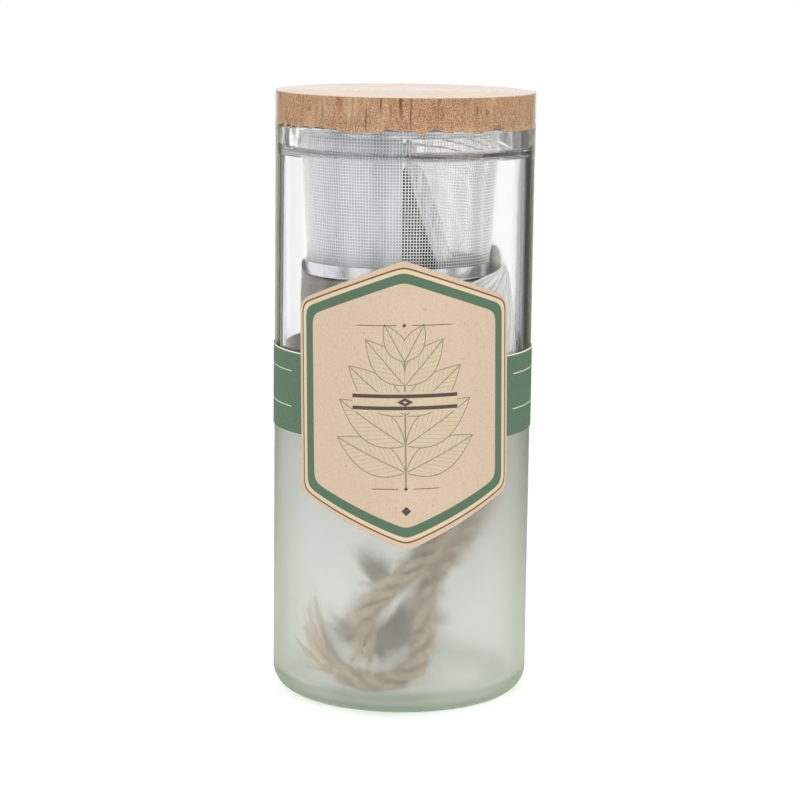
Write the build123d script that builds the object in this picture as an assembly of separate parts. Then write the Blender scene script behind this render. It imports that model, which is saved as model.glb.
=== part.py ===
"""Jar planter kit: a pressed glass jar, a steel net pot in its mouth, growing goods and a cork lid.

Millimetres. The jar stands on z = 0, its axis is the Z axis, and the front label faces -Y.
"""

from math import cos, degrees, radians, sin, sqrt, tan
import os

from build123d import *

# Clearances shared by neighbouring pieces
loose_clearance = 0.3
paper_clearance = 0.05
metal_clearance = 0.05
filling_clearance = 0.1
cut_overrun = 5

# Glass jar
jar_radius = 44
jar_height = 196
jar_wall = 3.2
floor_thickness = 4.5
heel_radius = 7.8
inner_heel_radius = 5.5
foot_width = 3
punt_depth = 1.5
lip_ledge = 4
lip_depth = 8.5
lip_shoulder = 4
lip_edge_radius = 1
seat_wall = 1.8
seat_depth = 0.6

# Paper band round the jar
band_bottom = 93.4
band_height = 27.5
band_thickness = 0.3
band_lap_length = 14

# Kraft label over the band: an upright hexagon, measured along the sheet
label_half_width = 39.3
label_half_height = 48.35
label_side_top = 34.1
label_side_bottom = -30.7
label_corner_radius = 6
label_thickness = 0.35
label_centre_height = 105.9
label_centre_shift = 1
label_lean = 1.3

# Cork lid
cork_thickness = 11
cork_inset = 0.1
cork_edge_chamfer = 0.4
chip_radius = 2.4
chip_reach = 1.6
lenticel_width = 0.6
lenticel_height = 6
lenticel_depth = 0.5

# Strap of clear tape over the lid and down both sides of the jar
tape_width = 24
tape_thickness = 0.3
tape_clearance = 0.1
tape_overlap = 11

# Net pot
pot_offset = -1.8
pot_side_gap = 1
pot_taper_width = 2.7
pot_depth = 49.9
mesh_thickness = 0.6
rim_thickness = 0.45
rim_margin = 0.2
collar_depth = 2.2
collar_thickness = 0.35
curl_radius = 0.5
base_band_height = 4.4
base_band_thickness = 0.4
base_bead_radius = 0.35
base_lip_width = 2.8
eyelet_bore_radius = 3.5
eyelet_wall = 0.5
eyelet_flange_width = 2.2
eyelet_flange_thickness = 0.35

# Twisted cotton wick: each bend takes this share of the shorter run beside it
wick_diameter = 6
wick_arc_share = 0.45
wick_route = [
    (-10.6, -30.3, 20.6),
    (-12.8, -29.8, 28.2),
    (-9.6, -30.0, 36.6),
    (-2.4, -30.6, 44.8),
    (5.2, -30.2, 53.4),
    (11.6, -28.8, 61.6),
    (14.4, -27.6, 70.4),
    (14.2, -26.8, 79.0),
    (17.8, -24.6, 86.8),
    (24.0, -20.0, 89.8),
    (28.8, -14.8, 86.4),
    (29.8, -13.6, 78.4),
    (27.4, -17.2, 71.0),
    (23.6, -22.0, 65.0),
    (18.8, -26.2, 59.2),
    (13.2, -28.6, 52.2),
    (8.8, -30.6, 43.6),
    (7.2, -31.0, 35.4),
    (8.4, -31.0, 27.2),
    (8.2, -31.0, 19.2),
    (3.6, -31.2, 12.2),
    (-4.2, -31.4, 7.8),
    (-12.4, -30.4, 7.8),
    (-19.6, -26.6, 11.0),
    (-25.8, -20.6, 15.0),
    (-30.2, -13.2, 19.4),
]

# Film pouch of growing medium, under the net pot
pouch_side_gap = 4.6
pouch_front_gap = 5
pouch_shift = 0.7
pouch_film = 0.4
pouch_height_shares = [0, 0.16, 0.5, 0.86, 1]
pouch_girth_shares = [0.9, 0.97, 1, 0.985, 0.91]
fold_half_width = 11
fold_rise = 12
fold_root = 9
fold_tip_share = 0.4

# Sachets that stand in the net pot
sachet_film = 0.35
plant_food_headroom = 6.15
plant_food_depth = 4.6
plant_food_edge = 1.2
plant_food_start = 3
plant_food_end = 87
plant_food_fill_share = 0.7

carbon_half_width = 8.6
carbon_half_depth = 9
carbon_headroom = 4.15
carbon_fill_share = 0.73
carbon_wall_gap = 2.15
carbon_direction = 302.7
carbon_top_shift = (-7.2, -7.4)
carbon_top_share = 0.2

packet_width = 25
packet_headroom = 7.15
packet_depth = 2.4
packet_edge = 1
packet_back = 8
packet_wall_gap = 1.9
packet_fill_share = 0.45

# Jar and lid, worked out from the sizes above
jar_inner_radius = jar_radius - jar_wall
mouth_radius = jar_inner_radius - lip_ledge
seat_radius = jar_radius - seat_wall
seat_height = jar_height - seat_depth
cork_radius = jar_radius - cork_inset
cork_top = jar_height + cork_thickness

# Net pot, worked out from the mouth of the jar
rim_radius = seat_radius - abs(pot_offset) - rim_margin
pot_top_radius = mouth_radius - abs(pot_offset) - pot_side_gap
pot_base_radius = pot_top_radius - pot_taper_width
pot_base_height = seat_height - pot_depth
mesh_top = seat_height - metal_clearance
mesh_bottom = pot_base_height + base_band_thickness + metal_clearance
mesh_taper = (pot_top_radius - pot_base_radius) / (mesh_top - mesh_bottom)
pot_floor = mesh_bottom + mesh_thickness


def turned(corners, sweep=360, start=0):
    """Turn a closed outline about the Z axis. Each corner is (radius, height, fillet)."""
    points = [(radius, height) for radius, height, _ in corners]
    outline = FilletPolyline(*points, radius=[corner[2] for corner in corners], close=True)
    profile = Plane.XZ * make_face(outline)
    return Rot(Z=start) * revolve(profile, Axis.Z, sweep)


def ring(inner, thickness, bottom, height):
    """A plain upright ring."""
    disc = Circle(inner + thickness) - Circle(inner)
    return Pos(Z=bottom) * extrude(disc, height)


def lofted(sections):
    """A smooth body through ellipses given as (x, y, z, half width, half depth)."""
    faces = [Pos(x, y, z) * Ellipse(width, depth) for x, y, z, width, depth in sections]
    return loft(faces)


def mesh_radius(height):
    """Outer radius of the tapered wire cloth at a height."""
    return pot_base_radius + mesh_taper * (height - mesh_bottom)


# Throat of the rim and hoop at the foot, both fitted to the wire cloth
collar_bottom = seat_height - collar_depth
collar_outer = mesh_radius(collar_bottom) - mesh_thickness - metal_clearance
rim_throat = collar_outer - 2 * curl_radius
base_band_inner = mesh_radius(pot_base_height + base_band_height) + metal_clearance
base_band_outer = base_band_inner + base_band_thickness

# Wick and pouch, worked out from the inside of the jar and the foot of the net pot
wick_radius = wick_diameter / 2
pouch_half_width = jar_inner_radius - pouch_shift - pouch_side_gap
pouch_half_depth = jar_inner_radius - pouch_front_gap
fold_outer = pouch_shift + pouch_half_width
fold_inner = pot_offset + base_band_outer + base_bead_radius + loose_clearance
fold_half_thickness = (fold_outer - fold_inner) / 2

# Sachets, worked out from the room in the net pot
pot_room = pot_base_radius - mesh_thickness - loose_clearance
eyelet_top = pot_floor + metal_clearance + eyelet_flange_thickness
sachet_bottom = eyelet_top + metal_clearance
plant_food_height = jar_height - plant_food_headroom - sachet_bottom
carbon_height = jar_height - carbon_headroom - sachet_bottom
carbon_fill_height = carbon_height * carbon_fill_share
carbon_distance = pot_room - carbon_half_depth - carbon_wall_gap
carbon_x = pot_offset + carbon_distance * cos(radians(carbon_direction))
carbon_y = carbon_distance * sin(radians(carbon_direction))
packet_height = jar_height - packet_headroom - sachet_bottom
packet_side = pot_offset - sqrt(pot_room**2 - (packet_back + packet_depth) ** 2) + packet_wall_gap


def make_glass_jar():
    foot_outer = jar_radius - heel_radius
    foot_inner = foot_outer - foot_width
    lip_bottom = jar_height - lip_depth
    corners = [
        (0, punt_depth, 0),
        (foot_inner - punt_depth, punt_depth, punt_depth),
        (foot_inner, 0, 0),
        (jar_radius, 0, heel_radius),
        (jar_radius, jar_height, lip_edge_radius),
        (seat_radius, jar_height, 0),
        (seat_radius, seat_height, 0),
        (mouth_radius, seat_height, lip_edge_radius),
        (mouth_radius, lip_bottom, lip_edge_radius),
        (jar_inner_radius, lip_bottom - lip_shoulder, lip_shoulder),
        (jar_inner_radius, floor_thickness, inner_heel_radius),
        (0, floor_thickness, 0),
    ]
    return turned(corners)


def make_paper_band():
    inner = jar_radius + paper_clearance
    outer = inner + band_thickness
    lap_outer = outer + band_thickness
    lap_angle = degrees(band_lap_length / outer)
    band_top = band_bottom + band_height
    lap_corners = [
        (outer, band_bottom, 0),
        (lap_outer, band_bottom, 0),
        (lap_outer, band_top, 0),
        (outer, band_top, 0),
    ]
    lap = turned(lap_corners, sweep=lap_angle, start=90 - lap_angle / 2)
    return ring(inner, band_thickness, band_bottom, band_height) + lap


def make_front_label():
    inner = jar_radius + paper_clearance + band_thickness + paper_clearance
    lean = radians(label_lean)

    def on_front(across, up):
        """Where a point of the flat sheet comes to lie, seen from the front."""
        along = label_centre_shift + across * cos(lean) - up * sin(lean)
        height = label_centre_height + across * sin(lean) + up * cos(lean)
        return (inner * sin(along / inner), height)

    corners = [
        (0, label_half_height),
        (label_half_width, label_side_top),
        (label_half_width, label_side_bottom),
        (0, -label_half_height),
        (-label_half_width, label_side_bottom),
        (-label_half_width, label_side_top),
    ]
    edges = []
    for (across, up), (next_across, next_up) in zip(corners, corners[1:] + corners[:1]):
        middle = ((across + next_across) / 2, (up + next_up) / 2)
        edges.append(ThreePointArc(on_front(across, up), on_front(*middle), on_front(next_across, next_up)))
    outline = make_face(edges)
    outline = fillet(outline.vertices(), label_corner_radius)
    prism = extrude(Plane.XZ * outline, jar_radius + cut_overrun)
    label_height = 2 * label_half_height
    sleeve = ring(inner, label_thickness, label_centre_height - label_height, 2 * label_height)
    return sleeve & prism


def make_cork_lid():
    disc = Pos(Z=jar_height) * extrude(Circle(cork_radius), cork_thickness)
    disc = chamfer(disc.edges().sort_by(Axis.Z)[-1], cork_edge_chamfer)
    # Small bites along the lower edge: direction in degrees, and size as a share of the largest
    chip_angles_and_shares = [
        (4, 0.5), (27, 0.8), (51, 0.45), (78, 1), (103, 0.6), (131, 0.9), (158, 0.5), (187, 0.75),
        (214, 1), (236, 0.45), (252, 0.7), (266, 0.4), (279, 0.6), (297, 0.9), (318, 0.55), (340, 0.8),
    ]
    for angle, share in chip_angles_and_shares:
        bite = Cylinder(chip_radius * share, chip_reach, rotation=(0, 90, 0))
        place = Pos(cork_radius, 0, jar_height - chip_radius * share / 2)
        disc -= Rot(Z=angle) * place * bite
    # Lenticels: short upright pores in the side, with their height as a share of the tallest
    lenticel_angles_and_shares = [
        (15, 0.7), (64, 1), (118, 0.6), (171, 0.9), (201, 0.7),
        (244, 0.8), (259, 0.5), (287, 1), (306, 0.7), (352, 0.8),
    ]
    for angle, share in lenticel_angles_and_shares:
        pore = Box(2 * lenticel_depth, lenticel_width, lenticel_height * share)
        disc -= Rot(Z=angle) * Pos(cork_radius, 0, jar_height + cork_thickness / 2) * pore
    return disc


def make_lid_tape():
    inner = jar_radius + tape_clearance
    outer = inner + tape_thickness
    under = cork_top + tape_clearance
    over = under + tape_thickness
    bottom = jar_height - tape_overlap
    corners = [
        (inner, bottom, 0),
        (outer, bottom, 0),
        (outer, over, tape_thickness),
        (0, over, 0),
        (0, under, 0),
        (inner, under, 0),
    ]
    across = Rectangle(2 * (outer + cut_overrun), tape_width)
    strap = Pos(Z=bottom) * extrude(across, over - bottom + cut_overrun)
    return turned(corners) & strap


def make_pot_rim():
    collar_inner = collar_outer - collar_thickness
    top = seat_height + rim_thickness
    corners = [
        (rim_radius, seat_height, 0),
        (rim_radius, top, 0),
        (collar_inner, top, rim_thickness),
        (collar_inner, collar_bottom, 0),
        (collar_outer, collar_bottom, 0),
        (collar_outer, seat_height, 0),
    ]
    curl = Pos(Z=collar_bottom) * Torus(collar_outer - curl_radius, curl_radius)
    return Pos(X=pot_offset) * (turned(corners) + curl)


def make_pot_wall_mesh():
    corners = [
        (mesh_radius(mesh_bottom) - mesh_thickness, mesh_bottom, 0),
        (mesh_radius(mesh_bottom), mesh_bottom, 0),
        (mesh_radius(mesh_top), mesh_top, 0),
        (mesh_radius(mesh_top) - mesh_thickness, mesh_top, 0),
    ]
    return Pos(X=pot_offset) * turned(corners)


def make_pot_base_band():
    bottom = pot_base_height
    top = bottom + base_band_height
    lip_inner = base_band_inner - base_lip_width
    lip_top = bottom + base_band_thickness
    corners = [
        (lip_inner, bottom, 0),
        (base_band_outer, bottom, base_band_thickness / 2),
        (base_band_outer, top, 0),
        (base_band_inner, top, 0),
        (base_band_inner, lip_top, 0),
        (lip_inner, lip_top, 0),
    ]
    bead = Pos(Z=bottom + base_bead_radius) * Torus(base_band_outer, base_bead_radius)
    inside = Pos(Z=lip_top) * extrude(Circle(base_band_inner), base_band_height)
    return Pos(X=pot_offset) * (turned(corners) + (bead - inside))


def make_pot_base_mesh():
    radius = mesh_radius(mesh_bottom) - mesh_thickness - metal_clearance
    hole = eyelet_bore_radius + eyelet_wall + metal_clearance
    return Pos(pot_offset, 0, mesh_bottom) * extrude(Circle(radius) - Circle(hole), mesh_thickness)


def make_wick_eyelet():
    barrel = eyelet_bore_radius + eyelet_wall
    flange = barrel + eyelet_flange_width
    under = mesh_bottom - metal_clearance
    over = eyelet_top - eyelet_flange_thickness
    corners = [
        (eyelet_bore_radius, under - eyelet_flange_thickness, 0),
        (flange, under - eyelet_flange_thickness, 0),
        (flange, under, 0),
        (barrel, under, 0),
        (barrel, over, 0),
        (flange, over, 0),
        (flange, eyelet_top, 0),
        (eyelet_bore_radius, eyelet_top, 0),
    ]
    return Pos(X=pot_offset) * turned(corners)


def make_wick():
    points = [Vector(*point) for point in wick_route]
    runs = [after - before for before, after in zip(points, points[1:])]
    radii = []
    for before, after in zip(runs, runs[1:]):
        half_turn = radians(before.get_angle(after)) / 2
        radii.append(wick_arc_share * min(before.length, after.length) / tan(half_turn))
    path = FilletPolyline(*points, radius=radii)
    section = Plane(origin=path @ 0, z_dir=path % 0) * Circle(wick_radius)
    tube = sweep(section, path=path)
    print("wick radii", [round(radius, 1) for radius in radii])
    volume_share = tube.volume / (section.area * path.length)
    print("wick length", round(path.length, 1), "volume share", round(volume_share, 4))
    return tube


def pouch_sections(bottom, top, inset):
    """Girths of the pouch from its flat underside to its top, drawn in by an inset."""
    sections = []
    for height_share, girth_share in zip(pouch_height_shares, pouch_girth_shares):
        height = bottom + inset + height_share * (top - bottom - 2 * inset)
        half_width = pouch_half_width * girth_share - inset
        half_depth = pouch_half_depth * girth_share - inset
        sections.append((pouch_shift, 0, height, half_width, half_depth))
    return sections


def make_medium_pouch(bottom, top):
    body = lofted(pouch_sections(bottom, top, 0))
    fold_x = (fold_inner + fold_outer) / 2
    fold = lofted([
        (fold_x, 0, top - fold_root, fold_half_thickness, fold_half_width),
        (fold_x, 0, top, fold_half_thickness, fold_half_width),
        (fold_x, 0, top + fold_rise, fold_half_thickness * fold_tip_share, fold_half_width * fold_tip_share),
    ])
    return body + fold - lofted(pouch_sections(bottom, top, pouch_film))


def make_growing_medium(bottom, top):
    return lofted(pouch_sections(bottom, top, pouch_film + loose_clearance))


def plant_food_slab(inset):
    """A sachet curved along the wall of the pot and clear of the rim's throat, drawn in by an inset."""
    bottom = sachet_bottom + inset
    top = sachet_bottom + plant_food_height - inset
    edge = plant_food_edge - 2 * inset
    belly = plant_food_depth - 2 * inset
    foot_back = (pot_room - inset, bottom)
    head_back = (rim_throat - loose_clearance - inset, top)
    head_front = (head_back[0] - edge, top)
    foot_front = (foot_back[0] - edge, bottom)
    middle = ((foot_back[0] + head_back[0]) / 2 - belly, (bottom + top) / 2)
    outline = [
        Line(foot_back, head_back),
        Line(head_back, head_front),
        ThreePointArc(head_front, middle, foot_front),
        Line(foot_front, foot_back),
    ]
    inset_angle = degrees(inset / pot_base_radius)
    sweep_angle = plant_food_end - plant_food_start - 2 * inset_angle
    slab = revolve(Plane.XZ * make_face(outline), Axis.Z, sweep_angle)
    return Pos(X=pot_offset) * Rot(Z=270 - plant_food_end + inset_angle) * slab


def make_plant_food_sachet():
    return plant_food_slab(0) - plant_food_slab(sachet_film)


def make_plant_food_granules():
    filling = plant_food_slab(sachet_film + filling_clearance)
    level = sachet_bottom + plant_food_height * plant_food_fill_share
    return split(filling, Plane.XY.offset(level), keep=Keep.BOTTOM)


def carbon_sections(inset, height):
    """Round foot and gathered top of the carbon bag, drawn in by an inset."""
    shift_x, shift_y = carbon_top_shift
    sections = []
    for share in (0, height / carbon_height / 2, height / carbon_height):
        girth = 1 - share * (1 - carbon_top_share)
        sections.append((
            carbon_x + shift_x * share,
            carbon_y + shift_y * share,
            sachet_bottom + inset + share * (carbon_height - 2 * inset),
            carbon_half_width * girth - inset,
            carbon_half_depth * girth - inset,
        ))
    return sections


def make_carbon_bag():
    return lofted(carbon_sections(0, carbon_height)) - lofted(carbon_sections(sachet_film, carbon_height))


def make_carbon_granules():
    return lofted(carbon_sections(sachet_film + loose_clearance, carbon_fill_height))


def packet_body(inset, height):
    """A flat paper packet with bellied faces, drawn in by an inset."""
    half_width = packet_width / 2 - inset
    half_depth = packet_depth / 2 - inset
    half_edge = packet_edge / 2 - inset
    outline = [
        Line((-half_width, -half_edge), (-half_width, half_edge)),
        ThreePointArc((-half_width, half_edge), (0, half_depth), (half_width, half_edge)),
        Line((half_width, half_edge), (half_width, -half_edge)),
        ThreePointArc((half_width, -half_edge), (0, -half_depth), (-half_width, -half_edge)),
    ]
    body = extrude(make_face(outline), height - 2 * inset)
    place = Pos(packet_side + packet_width / 2, packet_back + packet_depth / 2, sachet_bottom + inset)
    return place * body


def make_seed_packet():
    return packet_body(0, packet_height) - packet_body(sachet_film, packet_height)


def make_seeds():
    return packet_body(sachet_film + filling_clearance, packet_height * packet_fill_share)


wick = make_wick()
wick_top = wick.bounding_box().max.Z
pouch_bottom = wick_top + loose_clearance
pouch_top = pot_base_height - loose_clearance

nodes = {
    "glass_jar": make_glass_jar(),
    "paper_band": make_paper_band(),
    "front_label": make_front_label(),
    "lid_tape": make_lid_tape(),
    "cork_lid": make_cork_lid(),
    "pot_rim": make_pot_rim(),
    "pot_wall_mesh": make_pot_wall_mesh(),
    "pot_base_band": make_pot_base_band(),
    "pot_base_mesh": make_pot_base_mesh(),
    "wick_eyelet": make_wick_eyelet(),
    "wick": wick,
    "medium_pouch": make_medium_pouch(pouch_bottom, pouch_top),
    "growing_medium": make_growing_medium(pouch_bottom, pouch_top),
    "plant_food_sachet": make_plant_food_sachet(),
    "plant_food_granules": make_plant_food_granules(),
    "carbon_bag": make_carbon_bag(),
    "carbon_granules": make_carbon_granules(),
    "seed_packet": make_seed_packet(),
    "seeds": make_seeds(),
}

os.makedirs("parts", exist_ok=True)
for name, solid in nodes.items():
    solid.label = name
    export_step(solid, f"parts/{name}.step")
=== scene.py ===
# %% [markdown]
# # A jar planter kit, dressed in Blender
# The solids of the jar, its net pot and its growing goods are packed already. This lesson gives them their
# finishes, and puts modelled glass, woven wire, cork, film and rope in the place of the plain solids.

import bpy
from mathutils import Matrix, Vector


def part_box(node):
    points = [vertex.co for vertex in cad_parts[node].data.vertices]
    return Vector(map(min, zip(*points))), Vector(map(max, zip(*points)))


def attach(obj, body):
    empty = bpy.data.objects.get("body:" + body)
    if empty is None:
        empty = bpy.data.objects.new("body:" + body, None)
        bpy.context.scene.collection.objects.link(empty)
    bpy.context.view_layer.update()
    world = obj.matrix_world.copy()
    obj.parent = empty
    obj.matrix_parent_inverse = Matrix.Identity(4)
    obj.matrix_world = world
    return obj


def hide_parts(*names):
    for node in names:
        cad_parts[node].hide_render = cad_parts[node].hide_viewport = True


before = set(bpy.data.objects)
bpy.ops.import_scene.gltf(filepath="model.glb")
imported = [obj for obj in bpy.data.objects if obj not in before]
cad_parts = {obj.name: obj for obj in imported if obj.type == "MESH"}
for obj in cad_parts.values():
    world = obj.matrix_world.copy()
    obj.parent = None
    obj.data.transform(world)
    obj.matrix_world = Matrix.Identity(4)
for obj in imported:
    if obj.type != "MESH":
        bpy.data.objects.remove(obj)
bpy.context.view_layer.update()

# %% Modules and units
import math
import random

import bmesh
import bpy
import numpy as np
from mathutils import Matrix, Vector, noise

MM = 0.001
scene = bpy.context.scene


def low(node):
    """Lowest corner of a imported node, in millimetres."""
    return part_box(node)[0] / MM


def high(node):
    """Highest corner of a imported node, in millimetres."""
    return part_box(node)[1] / MM


jar_height = high("glass_jar").z
jar_radius = high("glass_jar").x
print("jar", round(jar_height, 2), "high and", round(2 * jar_radius, 2), "wide, in mm")

# %% [markdown]
# ## Camera
# A long lens a little above the lid sees the jar almost as a flat drawing, with the top of the cork as a
# thin ellipse. The values below come from fitting the outlines of the jar and its label to the picture.

# %% Camera
camera_distance = 909
camera_height = 256
camera_pitch = math.radians(9.70)
camera_roll = math.radians(0.70)
camera_yaw = math.radians(0.047)
camera_lens = 120.24
sensor_width = 36

bpy.ops.object.camera_add()
camera = bpy.context.object
camera.name = "studio_camera"
camera.data.lens = camera_lens
camera.data.sensor_width = sensor_width
aim = Matrix.Rotation(camera_yaw, 4, "Z") @ Matrix.Rotation(math.pi / 2 - camera_pitch, 4, "X")
place = Matrix.Translation((0, -camera_distance * MM, camera_height * MM))
camera.matrix_world = place @ aim @ Matrix.Rotation(camera_roll, 4, "Z")
scene.camera = camera
print("camera", [round(value, 3) for value in camera.location])

# %% [markdown]
# ## Modelling helpers
# Each piece starts as a primitive. It is shaped by operators in edit mode, or by a rule that says where each
# of its points goes. An operator acts on all that is selected, so these helpers clear the selection first.


# %% Selecting and editing
def deselect_all():
    bpy.ops.object.select_all(action="DESELECT")


def activate(piece):
    """Select one piece alone and make it the active one."""
    deselect_all()
    piece.select_set(True)
    bpy.context.view_layer.objects.active = piece


def open_edit(piece, kind="VERT"):
    activate(piece)
    bpy.ops.object.mode_set(mode="EDIT")
    bpy.ops.mesh.select_mode(type=kind)
    bpy.ops.mesh.select_all(action="DESELECT")


def close_edit():
    bpy.ops.object.mode_set(mode="OBJECT")


def pick(piece, rule, kind="verts"):
    """Select the vertices, edges or faces whose middle, in millimetres, follows a rule."""
    drawn = bmesh.from_edit_mesh(piece.data)
    for element in getattr(drawn, kind):
        if kind == "verts":
            middle = element.co
        else:
            middle = sum((v.co for v in element.verts), Vector()) / len(element.verts)
        if rule(middle / MM):
            element.select_set(True)
    drawn.select_flush_mode()
    bmesh.update_edit_mesh(piece.data)


def tidy_mesh(distance=0.002):
    """Merge doubles, drop faces without area and turn every face outwards, in edit mode."""
    bpy.ops.mesh.select_all(action="SELECT")
    bpy.ops.mesh.remove_doubles(threshold=distance * MM)
    bpy.ops.mesh.dissolve_degenerate(threshold=distance * MM)
    bpy.ops.mesh.normals_make_consistent(inside=False)


def rename(piece, name):
    piece.name = name
    piece.data.name = name
    return piece


def thicken(piece, thickness):
    """Give a sheet an even thickness in millimetres."""
    thick = piece.modifiers.new("film thickness", "SOLIDIFY")
    thick.thickness = thickness * MM
    activate(piece)
    bpy.ops.object.modifier_apply(modifier=thick.name)


def apply_place(piece):
    activate(piece)
    bpy.ops.object.transform_apply(location=True, rotation=True, scale=True)


def smooth(piece, degrees):
    """Shade a piece smooth, apart from edges that are sharper than an angle."""
    activate(piece)
    bpy.ops.object.shade_smooth_by_angle(angle=math.radians(degrees))


def joined(pieces, name):
    """Join separate pieces into one object."""
    deselect_all()
    for piece in pieces:
        piece.select_set(True)
    bpy.context.view_layer.objects.active = pieces[0]
    bpy.ops.object.join()
    return rename(bpy.context.object, name)


def copied(piece, change=None):
    """A copy of a piece with its own mesh, changed by a matrix."""
    twin = piece.copy()
    twin.data = piece.data.copy()
    scene.collection.objects.link(twin)
    if change is not None:
        twin.data.transform(change)
    return twin


def reshape(piece, rule):
    """Move every point of a piece by a rule on its place in millimetres."""
    for vertex in piece.data.vertices:
        vertex.co = rule(vertex.co / MM) * MM
    piece.data.update()


def angle_gap(first, second):
    """How far the first bearing lies beyond the second, from minus to plus half a turn."""
    return (first - second + math.pi) % (2 * math.pi) - math.pi


def between(low_value, value, high_value):
    return min(high_value, max(low_value, value))


# %% Drawing and spinning an outline
def draw_outline(corners):
    """Draw an outline of (x, z, fillet) in the XZ plane by extruding a vertex, then round its corners."""
    deselect_all()
    start = (corners[0][0] * MM, 0, corners[0][1] * MM)
    bpy.ops.mesh.primitive_circle_add(vertices=3, radius=MM, location=start)
    piece = bpy.context.object
    apply_place(piece)
    open_edit(piece)
    bpy.ops.mesh.select_all(action="SELECT")
    bpy.ops.mesh.merge(type="CENTER")
    for before, after in zip(corners, corners[1:]):
        step = ((after[0] - before[0]) * MM, 0, (after[1] - before[1]) * MM)
        bpy.ops.mesh.extrude_vertices_move(TRANSFORM_OT_translate={"value": step})
    for number, (x, z, fillet) in enumerate(corners):
        if fillet == 0:
            continue
        corner = Vector((x, 0, z))
        before = Vector((corners[number - 1][0], 0, corners[number - 1][1])) - corner
        after = Vector((corners[number + 1][0], 0, corners[number + 1][1])) - corner
        reach = fillet / math.tan(before.angle(after) / 2)
        bpy.ops.mesh.select_all(action="DESELECT")
        pick(piece, lambda co, corner=corner: (co - corner).length < 0.01)
        bpy.ops.mesh.bevel(offset=reach * MM, segments=10, affect="VERTICES", profile=0.5)
    return piece


def split_long_edges(piece, longest):
    """Halve the long edges of an outline until none is left, so that smooth shading stays true on them."""
    while True:
        bpy.ops.mesh.select_all(action="DESELECT")
        drawn = bmesh.from_edit_mesh(piece.data)
        long_edges = [edge for edge in drawn.edges if edge.calc_length() > longest * MM]
        if not long_edges:
            return
        for edge in long_edges:
            edge.select_set(True)
        bmesh.update_edit_mesh(piece.data)
        bpy.ops.mesh.subdivide(number_cuts=1)


def spun(piece, steps):
    """Spin the drawn outline once about the Z axis and close the seam."""
    bpy.ops.mesh.select_all(action="SELECT")
    bpy.ops.mesh.spin(steps=steps, angle=2 * math.pi, center=(0, 0, 0), axis=(0, 0, 1))
    tidy_mesh()
    close_edit()
    return piece


# %% Giving pieces their finish
def finish_piece(piece, name, material, body, slot, *nodes):
    """Name a piece, give it its finish and its body, and let it stand for CAD nodes."""
    rename(piece, name)
    piece.data.materials.clear()
    piece.data.materials.append(material)
    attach(piece, body)
    if nodes:
        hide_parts(*nodes)
    return piece


def give(node, material):
    """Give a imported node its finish."""
    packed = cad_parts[node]
    packed.data.materials.clear()
    packed.data.materials.append(material)


# %% [markdown]
# ## Shader maths
# A finish is a recipe of nodes. The class below wraps a socket so that sums can be written as Python
# expressions, and each operator adds the Math node that works it out.


# %% Sockets that can be added and multiplied
def maths(operation, swapped=False):
    """A method of a socket that adds one Math node for it and the other values."""
    def method(self, *others):
        values = (*others, self) if swapped else (self, *others)
        return self.finish.math(operation, *values)
    return method


class Value:
    """A socket of a finish that takes part in sums like a number."""

    def __init__(self, finish, socket):
        self.finish = finish
        self.socket = socket

    __add__, __radd__ = maths("ADD"), maths("ADD", swapped=True)
    __sub__, __rsub__ = maths("SUBTRACT"), maths("SUBTRACT", swapped=True)
    __mul__, __rmul__ = maths("MULTIPLY"), maths("MULTIPLY", swapped=True)
    __truediv__, __abs__ = maths("DIVIDE"), maths("ABSOLUTE")
    __gt__, __lt__ = maths("GREATER_THAN"), maths("LESS_THAN")
    smaller, larger, soft_min = maths("MINIMUM"), maths("MAXIMUM"), maths("SMOOTH_MIN")
    root, fold = maths("SQRT"), maths("PINGPONG")

    def __neg__(self):
        return self * -1.0

    def step(self, start, end, low_value=0.0, high_value=1.0):
        """Ease from a low to a high value between two places."""
        settings = {"interpolation_type": "SMOOTHSTEP", "clamp": True}
        ends = {"From Min": start, "From Max": end, "To Min": low_value, "To Max": high_value}
        return self.finish.node("ShaderNodeMapRange", settings, {"Value": self, **ends}, "Result")

    def drop(self, start, end):
        """Ease from 1 to 0 between two places."""
        return self.step(start, end, 1.0, 0.0)

    def line(self, middle, half_width, soft):
        """1 within half a width of a middle value, and 0 outside, with soft edges."""
        return abs(self - middle).drop(half_width - soft, half_width + soft)


def colour(red, green, blue):
    """A colour as a picture shows it, 0 to 255, turned into the linear values that shaders use."""
    def linear(value):
        share = value / 255
        return share / 12.92 if share <= 0.04045 else ((share + 0.055) / 1.055) ** 2.4
    return (linear(red), linear(green), linear(blue), 1)


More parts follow.
